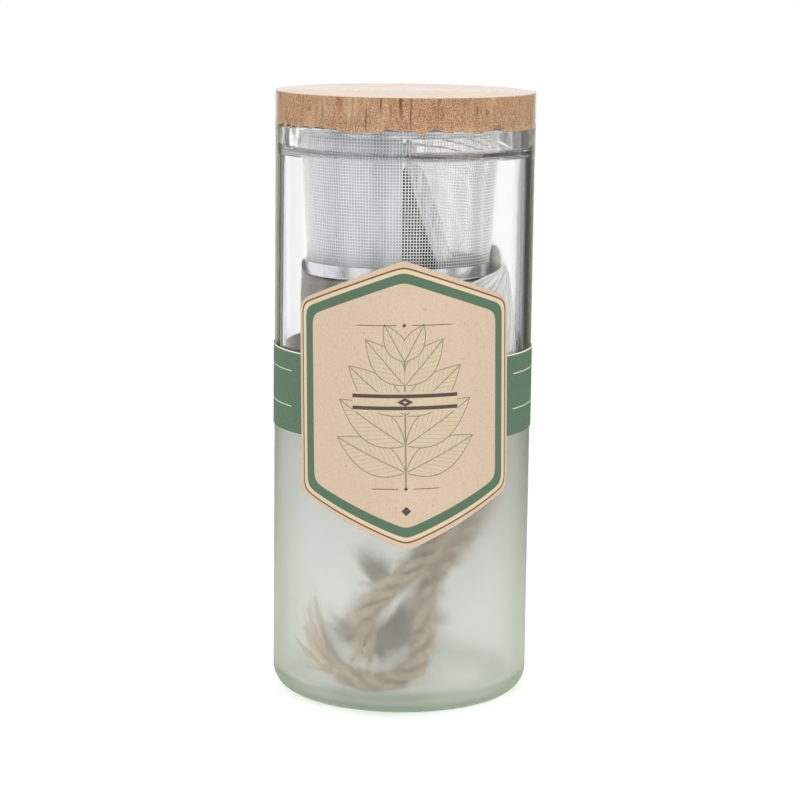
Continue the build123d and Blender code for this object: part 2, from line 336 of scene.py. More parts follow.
class Finish:
    """A node tree under construction: a material, or the world."""

    def __init__(self, name, world=False):
        holder = bpy.data.worlds if world else bpy.data.materials
        self.made = holder.new(name)
        self.made.use_nodes = True
        self.tree = self.made.node_tree
        self.tree.nodes.clear()

    def feed(self, socket, value):
        """Link or set an input, whichever the value asks for."""
        if isinstance(value, Value):
            self.tree.links.new(value.socket, socket)
        elif isinstance(value, bpy.types.NodeSocket):
            self.tree.links.new(value, socket)
        else:
            socket.default_value = value

    def node(self, kind, settings=None, inputs=None, output=0):
        """Add a node, set it up, feed its inputs by name or number, and return one of its outputs."""
        made = self.tree.nodes.new(kind)
        for name, value in (settings or {}).items():
            setattr(made, name, value)
        for name, value in (inputs or {}).items():
            self.feed(made.inputs[name], value)
        return Value(self, made.outputs[output])

    def math(self, operation, *values):
        return self.node("ShaderNodeMath", {"operation": operation}, dict(enumerate(values)))

    def vector(self, operation, *values):
        return self.node("ShaderNodeVectorMath", {"operation": operation}, dict(enumerate(values)))

    def shader(self, kind, **inputs):
        return self.node("ShaderNode" + kind, inputs=inputs)

    def mix(self, share, first, second):
        """Mix two colours, each a value or three numbers out of 255."""
        first, second = [colour(*tone) if isinstance(tone, tuple) else tone for tone in (first, second)]
        settings = {"data_type": "RGBA", "clamp_factor": True}
        return self.node("ShaderNodeMix", settings, {0: share, 6: first, 7: second}, 2)

    def coats(self, shade, *coats):
        """Lay colours over a first one, each with its share."""
        for share, tone in coats:
            shade = self.mix(share, shade, tone)
        return shade

    def mix_shader(self, share, first, second):
        return self.node("ShaderNodeMixShader", inputs={0: share, 1: first, 2: second})

    def point(self):
        """The place on the object, in millimetres, as a vector."""
        here = self.node("ShaderNodeTexCoord", output="Object")
        return self.node("ShaderNodeVectorMath", {"operation": "SCALE"}, {0: here, "Scale": 1 / MM})

    def split(self, vector):
        """The x, y and z of a vector."""
        made = self.tree.nodes.new("ShaderNodeSeparateXYZ")
        self.feed(made.inputs[0], vector)
        return [Value(self, output) for output in made.outputs]

    def combine(self, x, y, z):
        return self.node("ShaderNodeCombineXYZ", inputs={0: x, 1: y, 2: z})

    def noise(self, vector, scale, detail=3.0, roughness=0.5):
        """Soft noise about 0.5, at a number of blotches per millimetre."""
        inputs = {"Vector": vector, "Scale": scale, "Detail": detail, "Roughness": roughness}
        return self.node("ShaderNodeTexNoise", inputs=inputs)

    def stretched(self, vector, scales, scale, detail=3.0, roughness=0.5):
        """Noise that is drawn out along the axes whose scale is low."""
        return self.noise(self.vector("MULTIPLY", vector, scales), scale, detail, roughness)

    def spots(self, vector, scale, output="Distance"):
        """Random cells: the distance to the middle of a cell, or its colour."""
        return self.node("ShaderNodeTexVoronoi", inputs={"Vector": vector, "Scale": scale}, output=output)

    def facing(self, blend):
        """Low where a face looks at the camera, and 1 where it turns away."""
        return self.node("ShaderNodeLayerWeight", inputs={"Blend": blend}, output="Facing")

    def ray(self, kind):
        return self.node("ShaderNodeLightPath", output=kind)

    def bump(self, height, distance, strength=1.0):
        """Turn a height in millimetres into a normal."""
        inputs = {"Height": height, "Distance": distance * MM, "Strength": strength}
        return self.node("ShaderNodeBump", inputs=inputs)

    def principled(self, inputs):
        return self.node("ShaderNodeBsdfPrincipled", inputs=inputs)

    def show(self, shader):
        """Send a shader to the output and return the finished material or world."""
        kind = "World" if isinstance(self.made, bpy.types.World) else "Material"
        out = self.tree.nodes.new("ShaderNodeOutput" + kind)
        self.feed(out.inputs["Surface"], shader)
        return self.made

    def paint(self, tint, roughness, height, strength, distance=1.0, **more):
        """Show a coloured surface whose normal follows a height in millimetres."""
        inputs = {"Base Color": tint, "Roughness": roughness, "Normal": self.bump(height, distance, strength)}
        return self.show(self.principled({**inputs, **more}))


def reach_of(x, y):
    """Distance from the Z axis."""
    return (x * x + y * y).root()


def front_bearing(x, y):
    """Bearing about the Z axis, in radians, from 0 at the front towards the right."""
    return x.finish.math("ARCTAN2", x, -y)


# %% [markdown]
# ## Studio
# The picture has a white ground with a faint shadow at the foot of the jar. White paper all round would
# leave clear glass without an outline, so photographers put dark cards at its sides. Here cards stand in
# a ring with white gaps between them, and only rays that come by glass or metal see them. Behind the jar
# stand a dark card at the left and a wide grey one with a darker strip at the right, which makes that edge
# of the glass a double line. A faint one in the middle keeps the clear wall from vanishing.

# %% Ring of cards
ambient_level = 0.62
inside_level = 1.55
bare_white = 0.95
card_soft = 1.6
# Bearing of the middle and half width in degrees, and darkness
card_places = [
    (36.5, 20, 0.76), (30, 8, 0.8), (-32, 6.5, 0.95), (9, 7, 0.05),
    (112.5, 7, 0.85), (-112.5, 7, 0.85), (157.5, 7, 0.85), (-157.5, 7, 0.85),
]


def ring_of_cards(x, y):
    """White between the cards and dark on them, by the bearing of a direction."""
    bearing = x.finish.math("ARCTAN2", x, y) * math.degrees(1)
    seen = 1.0
    for middle, half_width, darkness in card_places:
        seen = (1.0 - bearing.line(middle, half_width, card_soft) * darkness) * seen
    return seen


world = Finish("white studio", world=True)
toward_x, toward_y, toward_z = world.split(world.node("ShaderNodeTexCoord", output="Generated"))
cards = ring_of_cards(toward_x, toward_y)
seen_in_glass = cards + (bare_white - cards) * toward_z.step(0.45, 0.75)
by_camera = world.ray("Is Camera Ray")
by_glass = world.ray("Is Transmission Ray")
by_mirror = world.ray("Is Glossy Ray").larger(by_glass)
scattered = world.ray("Diffuse Depth") > 0.5
soft_level = ambient_level + by_glass * (inside_level - ambient_level)
level = soft_level + by_mirror * (1.0 - scattered) * (seen_in_glass - soft_level)
level = level + by_camera * (1.0 - level)
scene.world = world.show(world.shader("Background", Color=(1, 1, 1, 1), Strength=level))
print("world ready, ambient level", ambient_level)

# %% [markdown]
# The floor is pale paper. It keeps the soft shadow of the jar near the foot and turns into plain white
# further out, so that it has no far edge.

# %% Floor
floor_radius = 6000
floor_drop = 0.1
shadow_start = 120
shadow_end = 420
paper_grey = 0.86
paper_glow = 0.17

deselect_all()
bpy.ops.mesh.primitive_circle_add(vertices=64, radius=floor_radius * MM, fill_type="NGON")
floor = bpy.context.object
floor.name = "studio_floor"
floor.location.z = -floor_drop * MM
paper = Finish("floor paper")
floor_x, floor_y, _ = paper.split(paper.point())
far_share = reach_of(floor_x, floor_y).step(shadow_start, shadow_end)
lit = paper.shader("BsdfDiffuse", Color=(paper_grey, paper_grey, paper_grey, 1))
glow = paper.shader("Emission", Strength=paper_glow)
near_look = paper.node("ShaderNodeAddShader", inputs={0: lit, 1: glow})
camera_look = paper.mix_shader(far_share, near_look, paper.shader("Emission", Strength=1.0))
card_look = bare_white + far_share * (ring_of_cards(floor_x, floor_y) - bare_white)
mirror_look = paper.shader("Emission", Strength=card_look)
in_glass = paper.ray("Is Glossy Ray").larger(paper.ray("Is Transmission Ray"))
in_glass = in_glass * (paper.ray("Diffuse Depth") < 0.5)
floor.data.materials.append(paper.show(paper.mix_shader(in_glass, camera_look, mirror_look)))
print("floor radius", floor_radius, "mm")

# %% [markdown]
# Glass and metal don't mirror them.

# %% Lamps
lamp_side = 700
lamp_aim = (0, 0, 100)
lamp_places = [
    ("key_lamp", (-700, -800, 900), 9.0),
    ("fill_lamp", (900, -500, 500), 5.4),
    ("back_lamp", (-200, 900, 700), 5.0),
]
for name, lamp_place, energy in lamp_places:
    deselect_all()
    bpy.ops.object.light_add(type="AREA", location=[value * MM for value in lamp_place])
    lamp = bpy.context.object
    lamp.name = name
    lamp.data.shape = "SQUARE"
    lamp.data.size = lamp_side * MM
    lamp.data.energy = energy
    away = Vector(lamp_aim) * MM - lamp.location
    lamp.rotation_euler = away.to_track_quat("-Z", "Y").to_euler()
    lamp.visible_glossy = False
    lamp.visible_transmission = False

# %% Picture settings
scene.view_settings.view_transform = "Standard"
scene.cycles.max_bounces = 24
scene.cycles.transmission_bounces = 20
scene.cycles.transparent_max_bounces = 32
scene.cycles.glossy_bounces = 8
scene.cycles.diffuse_bounces = 4
print("light bounces", scene.cycles.max_bounces)

# %% [markdown]
# ## Cotton wick
# The wick is a soft three-strand rope, about 6 mm thick, that lies loose on the floor of the jar and ends in
# a frayed broom. It hangs from nothing, so its line is a smooth curve through given points. Each
# strand is a tube that winds round that curve, with lobes for its yarns, because a plain tube with a
# twisted texture would show a straight outline. Each ring starts on the outer side of its strand, so the
# finish can find the grooves between the strands and paint shade into them.

# %% Route of the wick, in metres
strand_count = 3
lay_length = 24
strand_radius = 1.78
strand_offset = 1.95
yarn_lobes = 6
wick_sides = 24
ring_spacing = 0.8
swell_depths = (0.05, 0.04)
lobe_depth = 0.11
wick_route = [
    (-0.0106, -0.0330, 0.0207), (-0.0127, -0.0328, 0.0282), (-0.0094, -0.0346, 0.0372),
    (-0.0023, -0.0360, 0.0440), (0.0050, -0.0357, 0.0503), (0.0119, -0.0332, 0.0578),
    (0.0156, -0.0302, 0.0676), (0.0154, -0.0273, 0.0782), (0.0182, -0.0244, 0.0866),
    (0.0240, -0.0200, 0.0898), (0.0290, -0.0144, 0.0860), (0.0301, -0.0110, 0.0775),
    (0.0286, -0.0110, 0.0692), (0.0252, -0.0142, 0.0621), (0.0203, -0.0202, 0.0563),
    (0.0148, -0.0250, 0.0499), (0.0096, -0.0284, 0.0430), (0.0074, -0.0308, 0.0356),
    (0.0084, -0.0322, 0.0270), (0.0078, -0.0330, 0.0196), (0.0034, -0.0335, 0.0129),
    (-0.0045, -0.0335, 0.0090), (-0.0122, -0.0325, 0.0090), (-0.0192, -0.0297, 0.0122),
]


def spline_points(route, spacing):
    """Points in millimetres, evenly spaced along the smooth spline of a route given in metres."""
    curve = bpy.data.curves.new("route", "CURVE")
    curve.dimensions = "3D"
    curve.resolution_u = 32
    spline = curve.splines.new("NURBS")
    spline.points.add(len(route) - 1)
    for point, place in zip(spline.points, route):
        point.co = (*place, 1)
    spline.order_u = 3
    spline.use_endpoint_u = True
    holder = bpy.data.objects.new("route", curve)
    scene.collection.objects.link(holder)
    bpy.context.view_layer.update()
    drawn = bpy.data.meshes.new_from_object(holder)
    places = np.array([v.co for v in drawn.vertices]) / MM
    bpy.data.objects.remove(holder)
    bpy.data.meshes.remove(drawn)
    steps = np.linalg.norm(np.diff(places, axis=0), axis=1)
    along = np.concatenate(([0], np.cumsum(steps)))
    count = round(along[-1] / spacing) + 1
    even = np.linspace(0, along[-1], count)
    return np.column_stack([np.interp(even, along, places[:, axis]) for axis in range(3)]), along[-1]


wick_line, wick_length = spline_points(wick_route, ring_spacing)
print("wick line", len(wick_line), "points,", round(wick_length, 1), "mm long")


# %% Frames that follow a line without twisting
def carried_frames(line):
    """Two directions square to the line at each point, carried along it with the least turn."""
    tangents = np.gradient(line, axis=0)
    tangents /= np.linalg.norm(tangents, axis=1)[:, None]
    side = np.cross(tangents[0], (0.3, 0.9, 0.2))
    side /= np.linalg.norm(side)
    sides = [side]
    for tangent in tangents[1:]:
        side = side - tangent * side.dot(tangent)
        side = side / np.linalg.norm(side)
        sides.append(side)
    sides = np.array(sides)
    return sides, np.cross(tangents, sides)


def tube_mesh(name, tubes, round_width=1.0):
    """Closed tubes through rings of points, in millimetres, in one mesh, with a UV map of (round, along)."""
    verts, faces, places = [], [], []
    for rings in tubes:
        count, sides, _ = rings.shape
        first = len(verts)
        verts += [tuple(co * MM) for co in rings.reshape(-1, 3)]
        for ring in range(count - 1):
            for side in range(sides):
                here = first + ring * sides
                following = (side + 1) % sides
                faces.append((here + side, here + following, here + sides + following, here + sides + side))
                left, right = side / sides * round_width, (side + 1) / sides * round_width
                near, far = ring / count, (ring + 1) / count
                places += [left, near, right, near, right, far, left, far]
        faces.append(tuple(first + side for side in reversed(range(sides))))
        faces.append(tuple(first + (count - 1) * sides + side for side in range(sides)))
        places += [0.0, 0.0] * sides + [0.0, 1.0] * sides
    mesh = bpy.data.meshes.new(name)
    mesh.from_pydata(verts, [], faces)
    mesh.uv_layers.new(name="UVMap").data.foreach_set("uv", places)
    piece = bpy.data.objects.new(name, mesh)
    scene.collection.objects.link(piece)
    return piece


def turned(first, second, angle):
    """The direction at an angle between two that are square to each other."""
    return math.cos(angle) * first + math.sin(angle) * second


def strand_rings(line, start_angle):
    """Rings of one strand that winds round a line, with a lobe for each of its yarns."""
    first, second = carried_frames(line)
    along = np.arange(len(line)) * ring_spacing
    turn = start_angle + 2 * math.pi * along / lay_length
    centre = line + strand_offset * (np.cos(turn)[:, None] * first + np.sin(turn)[:, None] * second)
    rings = []
    for number, middle in enumerate(centre):
        swell = 1 + swell_depths[0] * math.sin(along[number] * 0.9 + start_angle * 5)
        swell += swell_depths[1] * math.sin(along[number] * 0.37)
        ring = []
        for side in range(wick_sides):
            round_place = 2 * math.pi * side / wick_sides
            lobe = 1 + lobe_depth * math.cos(yarn_lobes * (round_place + turn[number] * 0.5))
            out = turned(first[number], second[number], turn[number] + round_place)
            ring.append(middle + strand_radius * swell * lobe * out)
        rings.append(ring)
    return np.array(rings)


strands = [strand_rings(wick_line, 2 * math.pi * number / strand_count) for number in range(strand_count)]
wick = tube_mesh("wick_rope", strands)
smooth(wick, 60)
print("wick faces", len(wick.data.polygons))

# %% [markdown]
# Both ends of the rope are frayed into brooms of loose yarns. Each yarn is a thin tapering tube that leaves
# the rope, spreads and curls a little, and starts inside the last turn of the strands, so the rope seems to
# open by itself. More yarns stand off it further in, where the frosted glass shows them as dark, soft
# patches. Cotton also has fuzz: short hairs all along the rope soften its outline.

# %% Frayed yarns
fray_seed = 11
fray_floor = 5.4
heel_middle = 35.3
heel_room = 5.1
heel_height = 10
yarn_radius = 0.4
yarn_steps = 15
yarn_curl = 2.2
fuzz_count = 2600
fuzz_radius = 0.1
fuzz_room = 40.2

# Name, the line whose end they leave, number, length, rise at the end, radii of the jar, change of heading
yarn_bunches = [
    ("wick_fray", wick_line, 60, 23, (-1, 13), (36.0, 40.2), (0, 0, 0.12)),
    ("wick_cut_end", wick_line[::-1], 34, 7, (-2, 2), (37, 40), (-0.5, -0.2, 0.0)),
    ("wick_loose_end", wick_line[::-1], 200, 25, (-11, 9), (8, 31.5), (1.3, 1.3, 1.3)),
    ("wick_loose_side", wick_line[::-1], 64, 20, (-2, 8), (10, 31.5), (-1.7, 2.6, 1.4)),
    ("wick_loose_yarns", wick_line[:35], 64, 20, (-7, 5), (10, 31.5), (-1.7, 3.0, 0.2)),
]
shaded_bunches = ("wick_loose_end", "wick_loose_side", "wick_loose_yarns")
chance = random.Random(fray_seed)


def thin_tube(places, radius, taper, sides):
    """Rings round a thin line that gets thinner towards its end."""
    across, upward = carried_frames(places)
    turns = np.linspace(0, 2 * math.pi, sides, endpoint=False)
    rings = []
    for step, place in enumerate(places):
        here = radius * (1 - taper * step / (len(places) - 1))
        rings.append([place + here * turned(across[step], upward[step], turn) for turn in turns])
    return np.array(rings)


def fray_yarns(name, line, count, length, rise_range, shell, heading):
    """Loose yarns that spread from the last point of a line, between two radii of the jar."""
    first, second = carried_frames(line)
    ahead = line[-1] - line[-6]
    ahead = ahead / np.linalg.norm(ahead) + np.array(heading)
    ahead /= np.linalg.norm(ahead)
    yarns = []
    for _ in range(count):
        angle = chance.uniform(0, 2 * math.pi)
        spread = chance.uniform(0.15, 0.95)
        curl = chance.uniform(-1.4, 1.4)
        rise = chance.uniform(*rise_range)
        reach = length * chance.uniform(0.55, 1.0)
        start = line[-4] + chance.uniform(0.4, 2.6) * turned(first[-4], second[-4], angle)
        aside = turned(first[-1], second[-1], angle)
        places = []
        for step in range(yarn_steps):
            share = step / (yarn_steps - 1)
            swing = math.sin(share * 3 + curl) - math.sin(curl)
            lateral = np.cross(ahead, aside) * swing * yarn_curl * curl
            place = start + ahead * reach * share + aside * spread * reach * share ** 1.5 * 0.6 + lateral
            place[2] = max(place[2] + rise * share ** 1.6, fray_floor + yarn_radius)
            # The rounded heel of the jar leaves less room near the floor
            out = math.hypot(place[0], place[1])
            drop = between(0.0, heel_height - place[2], heel_room)
            room = heel_middle + math.sqrt(heel_room ** 2 - drop ** 2)
            kept_out = min(max(out, out + (shell[0] - out) * share), shell[1], room)
            place[:2] *= kept_out / out
            places.append(place)
        yarns.append(thin_tube(np.array(places), yarn_radius, 0.6, 6))
    piece = tube_mesh(name, yarns, 0.2)
    smooth(piece, 60)
    return piece


def fuzz(name, line, count):
    """Short curved hairs that stand off the rope at random places."""
    first, second = carried_frames(line)
    along = np.gradient(line, axis=0) / ring_spacing
    hairs = []
    for _ in range(count):
        at = chance.randrange(3, len(line) - 3)
        out = turned(first[at], second[at], chance.uniform(0, 2 * math.pi))
        onward = np.cross(along[at], out) * chance.uniform(-1, 1) + along[at] * chance.uniform(-1, 1)
        length = chance.uniform(2, 7.5)
        start = line[at] + out * (strand_offset + strand_radius * 0.6)
        shares = np.linspace(0, 1, 6)[:, None]
        places = start + out * length * (shares - 0.55 * shares ** 2) + onward * length * shares * 0.8
        places[:, 2] = np.maximum(places[:, 2], fray_floor)
        outward_reach = np.hypot(places[:, 0], places[:, 1])
        places[:, :2] *= np.minimum(1, fuzz_room / outward_reach)[:, None]
        hairs.append(thin_tube(places, fuzz_radius, 0.5, 3))
    piece = tube_mesh(name, hairs, 0.2)
    smooth(piece, 80)
    return piece


wick_extras = [fray_yarns(*bunch) for bunch in yarn_bunches]
wick_extras.append(fuzz("wick_fuzz", wick_line, fuzz_count))
print("loose fibre faces", sum(len(piece.data.polygons) for piece in wick_extras))


# %% Cotton
def cotton_finish(name, dark, pale, wisp_share, twisted=False):
    """Cotton: fine fibres along each yarn, pale wisps, and painted shade in the grooves between the twisted
    strands and between their yarns.
    """
    cotton = Finish(name)
    around, lengthwise, _ = cotton.split(cotton.node("ShaderNodeTexCoord", output="UV"))
    place = cotton.point()
    fibres = cotton.noise(cotton.combine(around * 26.0, lengthwise * 900.0 + around * 60.0, 0.0), 1.0, 3.0)
    shade = cotton.coats(
        dark, (fibres.step(0.3, 0.75), pale),
        (cotton.noise(place, 0.22).step(0.35, 0.7) * 0.4, (160, 138, 116)),
        (cotton.noise(place, 0.9, 2.0).step(0.44, 0.6) * wisp_share, (240, 222, 198)),
    )
    if twisted:
        # Painted shade in the grooves between the strands and in the gaps between the yarns
        groove_shade = abs(around - 0.5).drop(0.12, 0.3)
        yarn_turns = yarn_lobes * 0.5 * wick_length / lay_length
        yarn_gap_shade = (around * yarn_lobes + lengthwise * yarn_turns).fold(0.5).step(0.26, 0.46)
        # The doubled part, high in the jar, is painted paler than the frayed foot: painted light
        dry = cotton.split(place)[2].step(50, 72)
        shade = cotton.coats(
            shade, (yarn_gap_shade * 0.5, (96, 74, 58)), (groove_shade * 0.6, (70, 54, 42)), (dry * 0.85, (238, 230, 214)),
        )
    return cotton.paint(shade, 0.92, fibres, 0.8, distance=0.25)


rope_cotton = cotton_finish("natural cotton", (134, 110, 90), (206, 184, 160), 0.5, twisted=True)
loose_cotton = cotton_finish("frayed cotton", (186, 164, 142), (236, 220, 200), 0.5)
# The loose yarns deep in the jar get cotton painted in shade, darker than the rope
shaded_cotton = cotton_finish("cotton painted in shade", (92, 74, 58), (136, 114, 92), 0.1)

finish_piece(wick, "wick_rope", rope_cotton, "wick", "cotton_rope", "wick")
for piece in wick_extras:
    cotton = shaded_cotton if piece.name in shaded_bunches else loose_cotton
    finish_piece(piece, piece.name, cotton, "wick", "cotton_rope")
print("wick declared,", round(wick_length * MM, 4), "m")

# %% [markdown]
# ## Glass jar
# The jar is pressed glass: a thick wall, a heavy rounded foot with a shallow dent under it, and a lip that
# steps inwards to make a seat for lids. It could be a tube with a thickness modifier, but the step and the
# foot differ inside and out, so its whole section is drawn once and spun about the axis.

# %% Outline of the jar
jar_wall = 3.2
floor_thickness = 4.5
heel_radius = 7.8
inner_heel_radius = 5.5
foot_width = 3
punt_depth = 1.5
lip_ledge = 4
lip_depth = 8.5
lip_rise = 1.0
lip_shoulder = 1.9
lip_edge_radius = 1
seat_wall = 1.8
seat_depth = 0.6
jar_steps = 192

jar_inner_radius = jar_radius - jar_wall
mouth_radius = jar_inner_radius - lip_ledge
seat_height = jar_height - seat_depth
foot_outer = jar_radius - heel_radius
foot_inner = foot_outer - foot_width
lip_bottom = jar_height - lip_depth

jar_corners = [
    (0, punt_depth, 0),
    (foot_inner - punt_depth, punt_depth, punt_depth * 0.9),
    (foot_inner, 0, 0),
    (foot_outer, 0, 0),
    (jar_radius, 0, heel_radius),
    (jar_radius, jar_height, lip_edge_radius),
    (jar_radius - seat_wall, jar_height, 0),
    (jar_radius - seat_wall, seat_height, 0),
    (mouth_radius, seat_height, lip_edge_radius),
    (mouth_radius, lip_bottom + lip_rise, lip_edge_radius),
    (jar_inner_radius, lip_bottom + lip_rise - lip_shoulder, lip_shoulder * 0.9),
    (jar_inner_radius, floor_thickness, inner_heel_radius),
    (0, floor_thickness, 0),
]
jar_glass = draw_outline(jar_corners)
split_long_edges(jar_glass, 7)
jar_glass = spun(jar_glass, jar_steps)
smooth(jar_glass, 35)
print("jar faces", len(jar_glass.data.polygons))

# %% [markdown]
# The glass is clear above the paper band and satin frosted below it, with the change hidden behind the
# band, so the faces below that line get a finish of their own. Both are a faint green, which gathers at the
# steep edges and in the heel, where the eye looks through more glass. The frost is on the outer face alone
# and is partly milky. In the clear part the steepest strip of the wall gets painted shade, a dark diffuse
# layer, and the thick glass beside the mouth gets painted shade as olive streaks. Lamps pass straight
# through, so the inside isn't in the dark.

# %% Glass finishes
frost_line = 104
skin_depths = (2.4, 1.8)
edge_green = (198, 206, 188)
heel_green = (120, 144, 107)
milk_share = 0.42


def glass_finish(name, frosted):
    """Pressed glass. The outer skin of the wall and of the foot can be frosted."""
    glass = Finish(name)
    point = glass.point()
    x, y, z = glass.split(point)
    reach = reach_of(x, y)
    wall_skin = reach.step(jar_radius - skin_depths[0], jar_radius - skin_depths[1])
    outer = wall_skin.larger(z.drop(floor_thickness - 1.3, floor_thickness - 0.6))
    edge = glass.facing(0.5) * wall_skin
    ripple = glass.noise(point, 0.05, 1.0) + 0.3 * glass.noise(point, 0.22, 1.0)
    if frosted:
        heel = z.drop(0.5, 7.5) * outer * reach.step(foot_inner - 6, foot_outer, 0.4, 1.0)
        greens = [(edge.step(0.24, 0.74), edge_green), (heel * 0.9, heel_green)]
        tint = glass.coats((247, 248, 246), *greens)
        roughness = outer * 0.3
        height = ripple * 0.06 + glass.noise(point, 3.0, 2.0) * 0.02
    else:
        tint = glass.mix(edge.step(0.60, 0.70), (255, 255, 255), (158, 161, 146))
        roughness = 0.0
        height = ripple * 0.05
    body = glass.principled({
        "Base Color": tint, "Roughness": roughness, "IOR": 1.5, "Transmission Weight": 1.0,
        "Normal": glass.bump(height, 1.0, 0.5),
    })
    if frosted:
        milk = glass.shader("BsdfTranslucent", Color=glass.coats((241, 243, 239), *greens))
        body = glass.mix_shader(outer * milk_share, body, milk)
    else:
        # Painted shade: a dark diffuse layer on the steepest strip of the clear wall
        painted_edge_shade = glass.shader("BsdfDiffuse", Color=colour(100, 103, 88))
        body = glass.mix_shader(edge.step(0.70, 0.80) * 0.55, body, painted_edge_shade)
        # Painted shade: olive streaks in the thick glass beside the mouth
        olive = glass.shader("BsdfDiffuse", Color=colour(104, 106, 80))
        streaks = glass.stretched(point, (1.0, 1.0, 0.6), 0.34, 2.0).step(0.44, 0.6)
        corner = z.step(lip_bottom + 0.4, lip_bottom + 1.4) * edge.step(0.34, 0.5) * streaks
        body = glass.mix_shader(corner * 0.6, body, olive)
        # The shoulder of the lip is drawn softly, and more so at the left
        shoulder = z.step(lip_bottom - 1.6, lip_bottom - 0.9) * z.drop(lip_bottom + 1.2, lip_bottom + 1.8)
        shoulder = shoulder * (1.0 - wall_skin) * x.step(-6, 6, 0.5, 0.1)
        body = glass.mix_shader(shoulder, body, glass.shader("BsdfTransparent", Color=(1, 1, 1, 1)))
    open_way = glass.shader("BsdfTransparent", Color=(0.95, 0.96, 0.95, 1))
    return glass.show(glass.mix_shader(glass.ray("Is Shadow Ray"), body, open_way))


finish_piece(jar_glass, "jar_glass", glass_finish("clear glass", False), "jar", "jar_glass", "glass_jar")
jar_glass.data.materials.append(glass_finish("frosted glass", True))
for face in jar_glass.data.polygons:
    face.material_index = 1 if face.center.z < frost_line * MM else 0
print("frosted faces", sum(face.material_index for face in jar_glass.data.polygons))

# %% [markdown]
# ## Cork lid
# The lid is a disc cut from a slab of natural cork. Its top is sanded smooth, and its side shows the growth
# of the bark: upright dark pores, a ragged surface and small bites along the lower edge. A picture of cork
# on a plain disc would show a straight edge, so the disc gets many small faces and each point is moved.

# %% Disc with enough faces to carve
cork_steps = 420
cork_rows = 26
cork_inset = 0.1
cork_edge = 0.4
fringe_drop = 0.8
fringe_radius = jar_radius + 0.12
ring_insets = {"top": (cork_edge, 1.2, 5, 9, 12), "bottom": (0.8, 1.4, 6, 9, 12)}

cork_bottom = low("cork_lid").z
cork_top = high("cork_lid").z
cork_radius = jar_radius - cork_inset
cork_height = cork_top - cork_bottom
cork_middle = (cork_bottom + cork_top) / 2
deselect_all()
bpy.ops.mesh.primitive_cylinder_add(
    vertices=cork_steps, radius=cork_radius * MM, depth=cork_height * MM, location=(0, 0, cork_middle * MM),
)
cork = bpy.context.object
apply_place(cork)
open_edit(cork, "EDGE")
pick(cork, lambda middle: abs(middle.z - cork_middle) < 0.1, "edges")
bpy.ops.mesh.subdivide(number_cuts=cork_rows)
bpy.ops.mesh.select_all(action="DESELECT")
bpy.ops.mesh.select_mode(type="FACE")
for side_z, widths in ((cork_top, ring_insets["top"]), (cork_bottom, ring_insets["bottom"])):
    bpy.ops.mesh.select_all(action="DESELECT")
    pick(cork, lambda middle, side_z=side_z: abs(middle.z - side_z) < 0.01, "faces")
    for width in widths:
        bpy.ops.mesh.inset(thickness=width * MM)
close_edit()
print("cork faces", len(cork.data.polygons))

# %% Carve the bark
pore_seed = 5
pore_count = 64
chip_count = 58
rim_slack = 0.05
edge_drop = cork_edge * 0.8

chance = random.Random(pore_seed)
# Bearing, rise, half width, half height and depth of each pore
pores = [
    (
        chance.uniform(-math.pi, math.pi), chance.uniform(0.5, cork_height - 0.5), chance.uniform(0.25, 0.7),
        chance.uniform(1.2, 4.2), chance.uniform(0.25, 0.9),
    )
    for _ in range(pore_count)
]
# Bearing, half width and height of each bite
chips = [
    (chance.uniform(-math.pi, math.pi), chance.uniform(0.9, 3.0), chance.uniform(0.3, 1.7))
    for _ in range(chip_count)
]


def bitten_away(angle, rim):
    """How much of the lower edge is missing at a bearing."""
    bite = 0.0
    for chip_angle, chip_width, chip_height in chips:
        gap = abs(angle_gap(angle, chip_angle)) * cork_radius / chip_width
        if gap < 1:
            bite = max(bite, chip_height * (1 - gap * gap) ** 0.6)
    return bite + 0.25 * abs(noise.noise(rim * 0.55))


def bark_depth(angle, rise, rim):
    """How far the side is carved in: two scales of roughness, and the pores."""
    depth = 0.12 + 0.1 * noise.noise(Vector((angle * 22, 0, rise * 0.18)))
    depth += 0.09 * noise.noise(rim * 1.3 + Vector((0, 0, rise * 1.1)))
    for pore_angle, pore_rise, pore_width, pore_height, pore_depth in pores:
        across = abs(angle_gap(angle, pore_angle)) * cork_radius / pore_width
        along = abs(rise - pore_rise) / pore_height
        if across < 1 and along < 1:
            depth += pore_depth * (1 - across * across) * (1 - along * along)
    return depth


def bark(point):
    """Where a point of the plain disc goes, in millimetres."""
    angle = math.atan2(point.y, point.x)
    radius = math.hypot(point.x, point.y)
    rise = point.z - cork_bottom
    if radius < 1:
        return point
    rim = Vector((math.cos(angle), math.sin(angle), 0)) * cork_radius
    on_rim = radius > cork_radius - rim_slack
    bite = bitten_away(angle, rim)
    hang = bite - fringe_drop
    if rise < 0.01:
        if on_rim and hang < 0.15:
            # A fringe of bark hangs a little over the rounded edge of the glass
            return rim * (fringe_radius / cork_radius) + Vector((0, 0, cork_bottom + hang))
        if on_rim:
            lift = hang
        else:
            lift = max(0.4, 0.45 * bite) if radius > cork_radius - 1.0 else 0.0
        scale = 1 - 0.35 * lift / radius
        return Vector((point.x * scale, point.y * scale, point.z + lift))
    if cork_top - point.z < 0.01:
        return Vector((point.x, point.y, point.z - (edge_drop if on_rim else 0.0)))
    height = cork_bottom + hang + rise / cork_height * (cork_height - hang - edge_drop)
    depth = bark_depth(angle, rise, rim) + 0.35 * bite * max(0.0, 1 - rise / 1.5)
    depth *= between(0.0, (height - cork_bottom - 0.1) / 0.5, 1.0)
    outermost = cork_radius if height > cork_bottom + 0.15 else fringe_radius
    scale = (outermost - max(depth, 0.0)) / radius
    return Vector((point.x * scale, point.y * scale, height))


reshape(cork, bark)
open_edit(cork)
tidy_mesh()
close_edit()
smooth(cork, 50)
print("cork carved,", pore_count, "pores and", chip_count, "bites")

# %% [markdown]
# The bark grows in rings, so its side shows upright streaks with dark pores, and its sanded top shows the
# growth as faint straight lines.

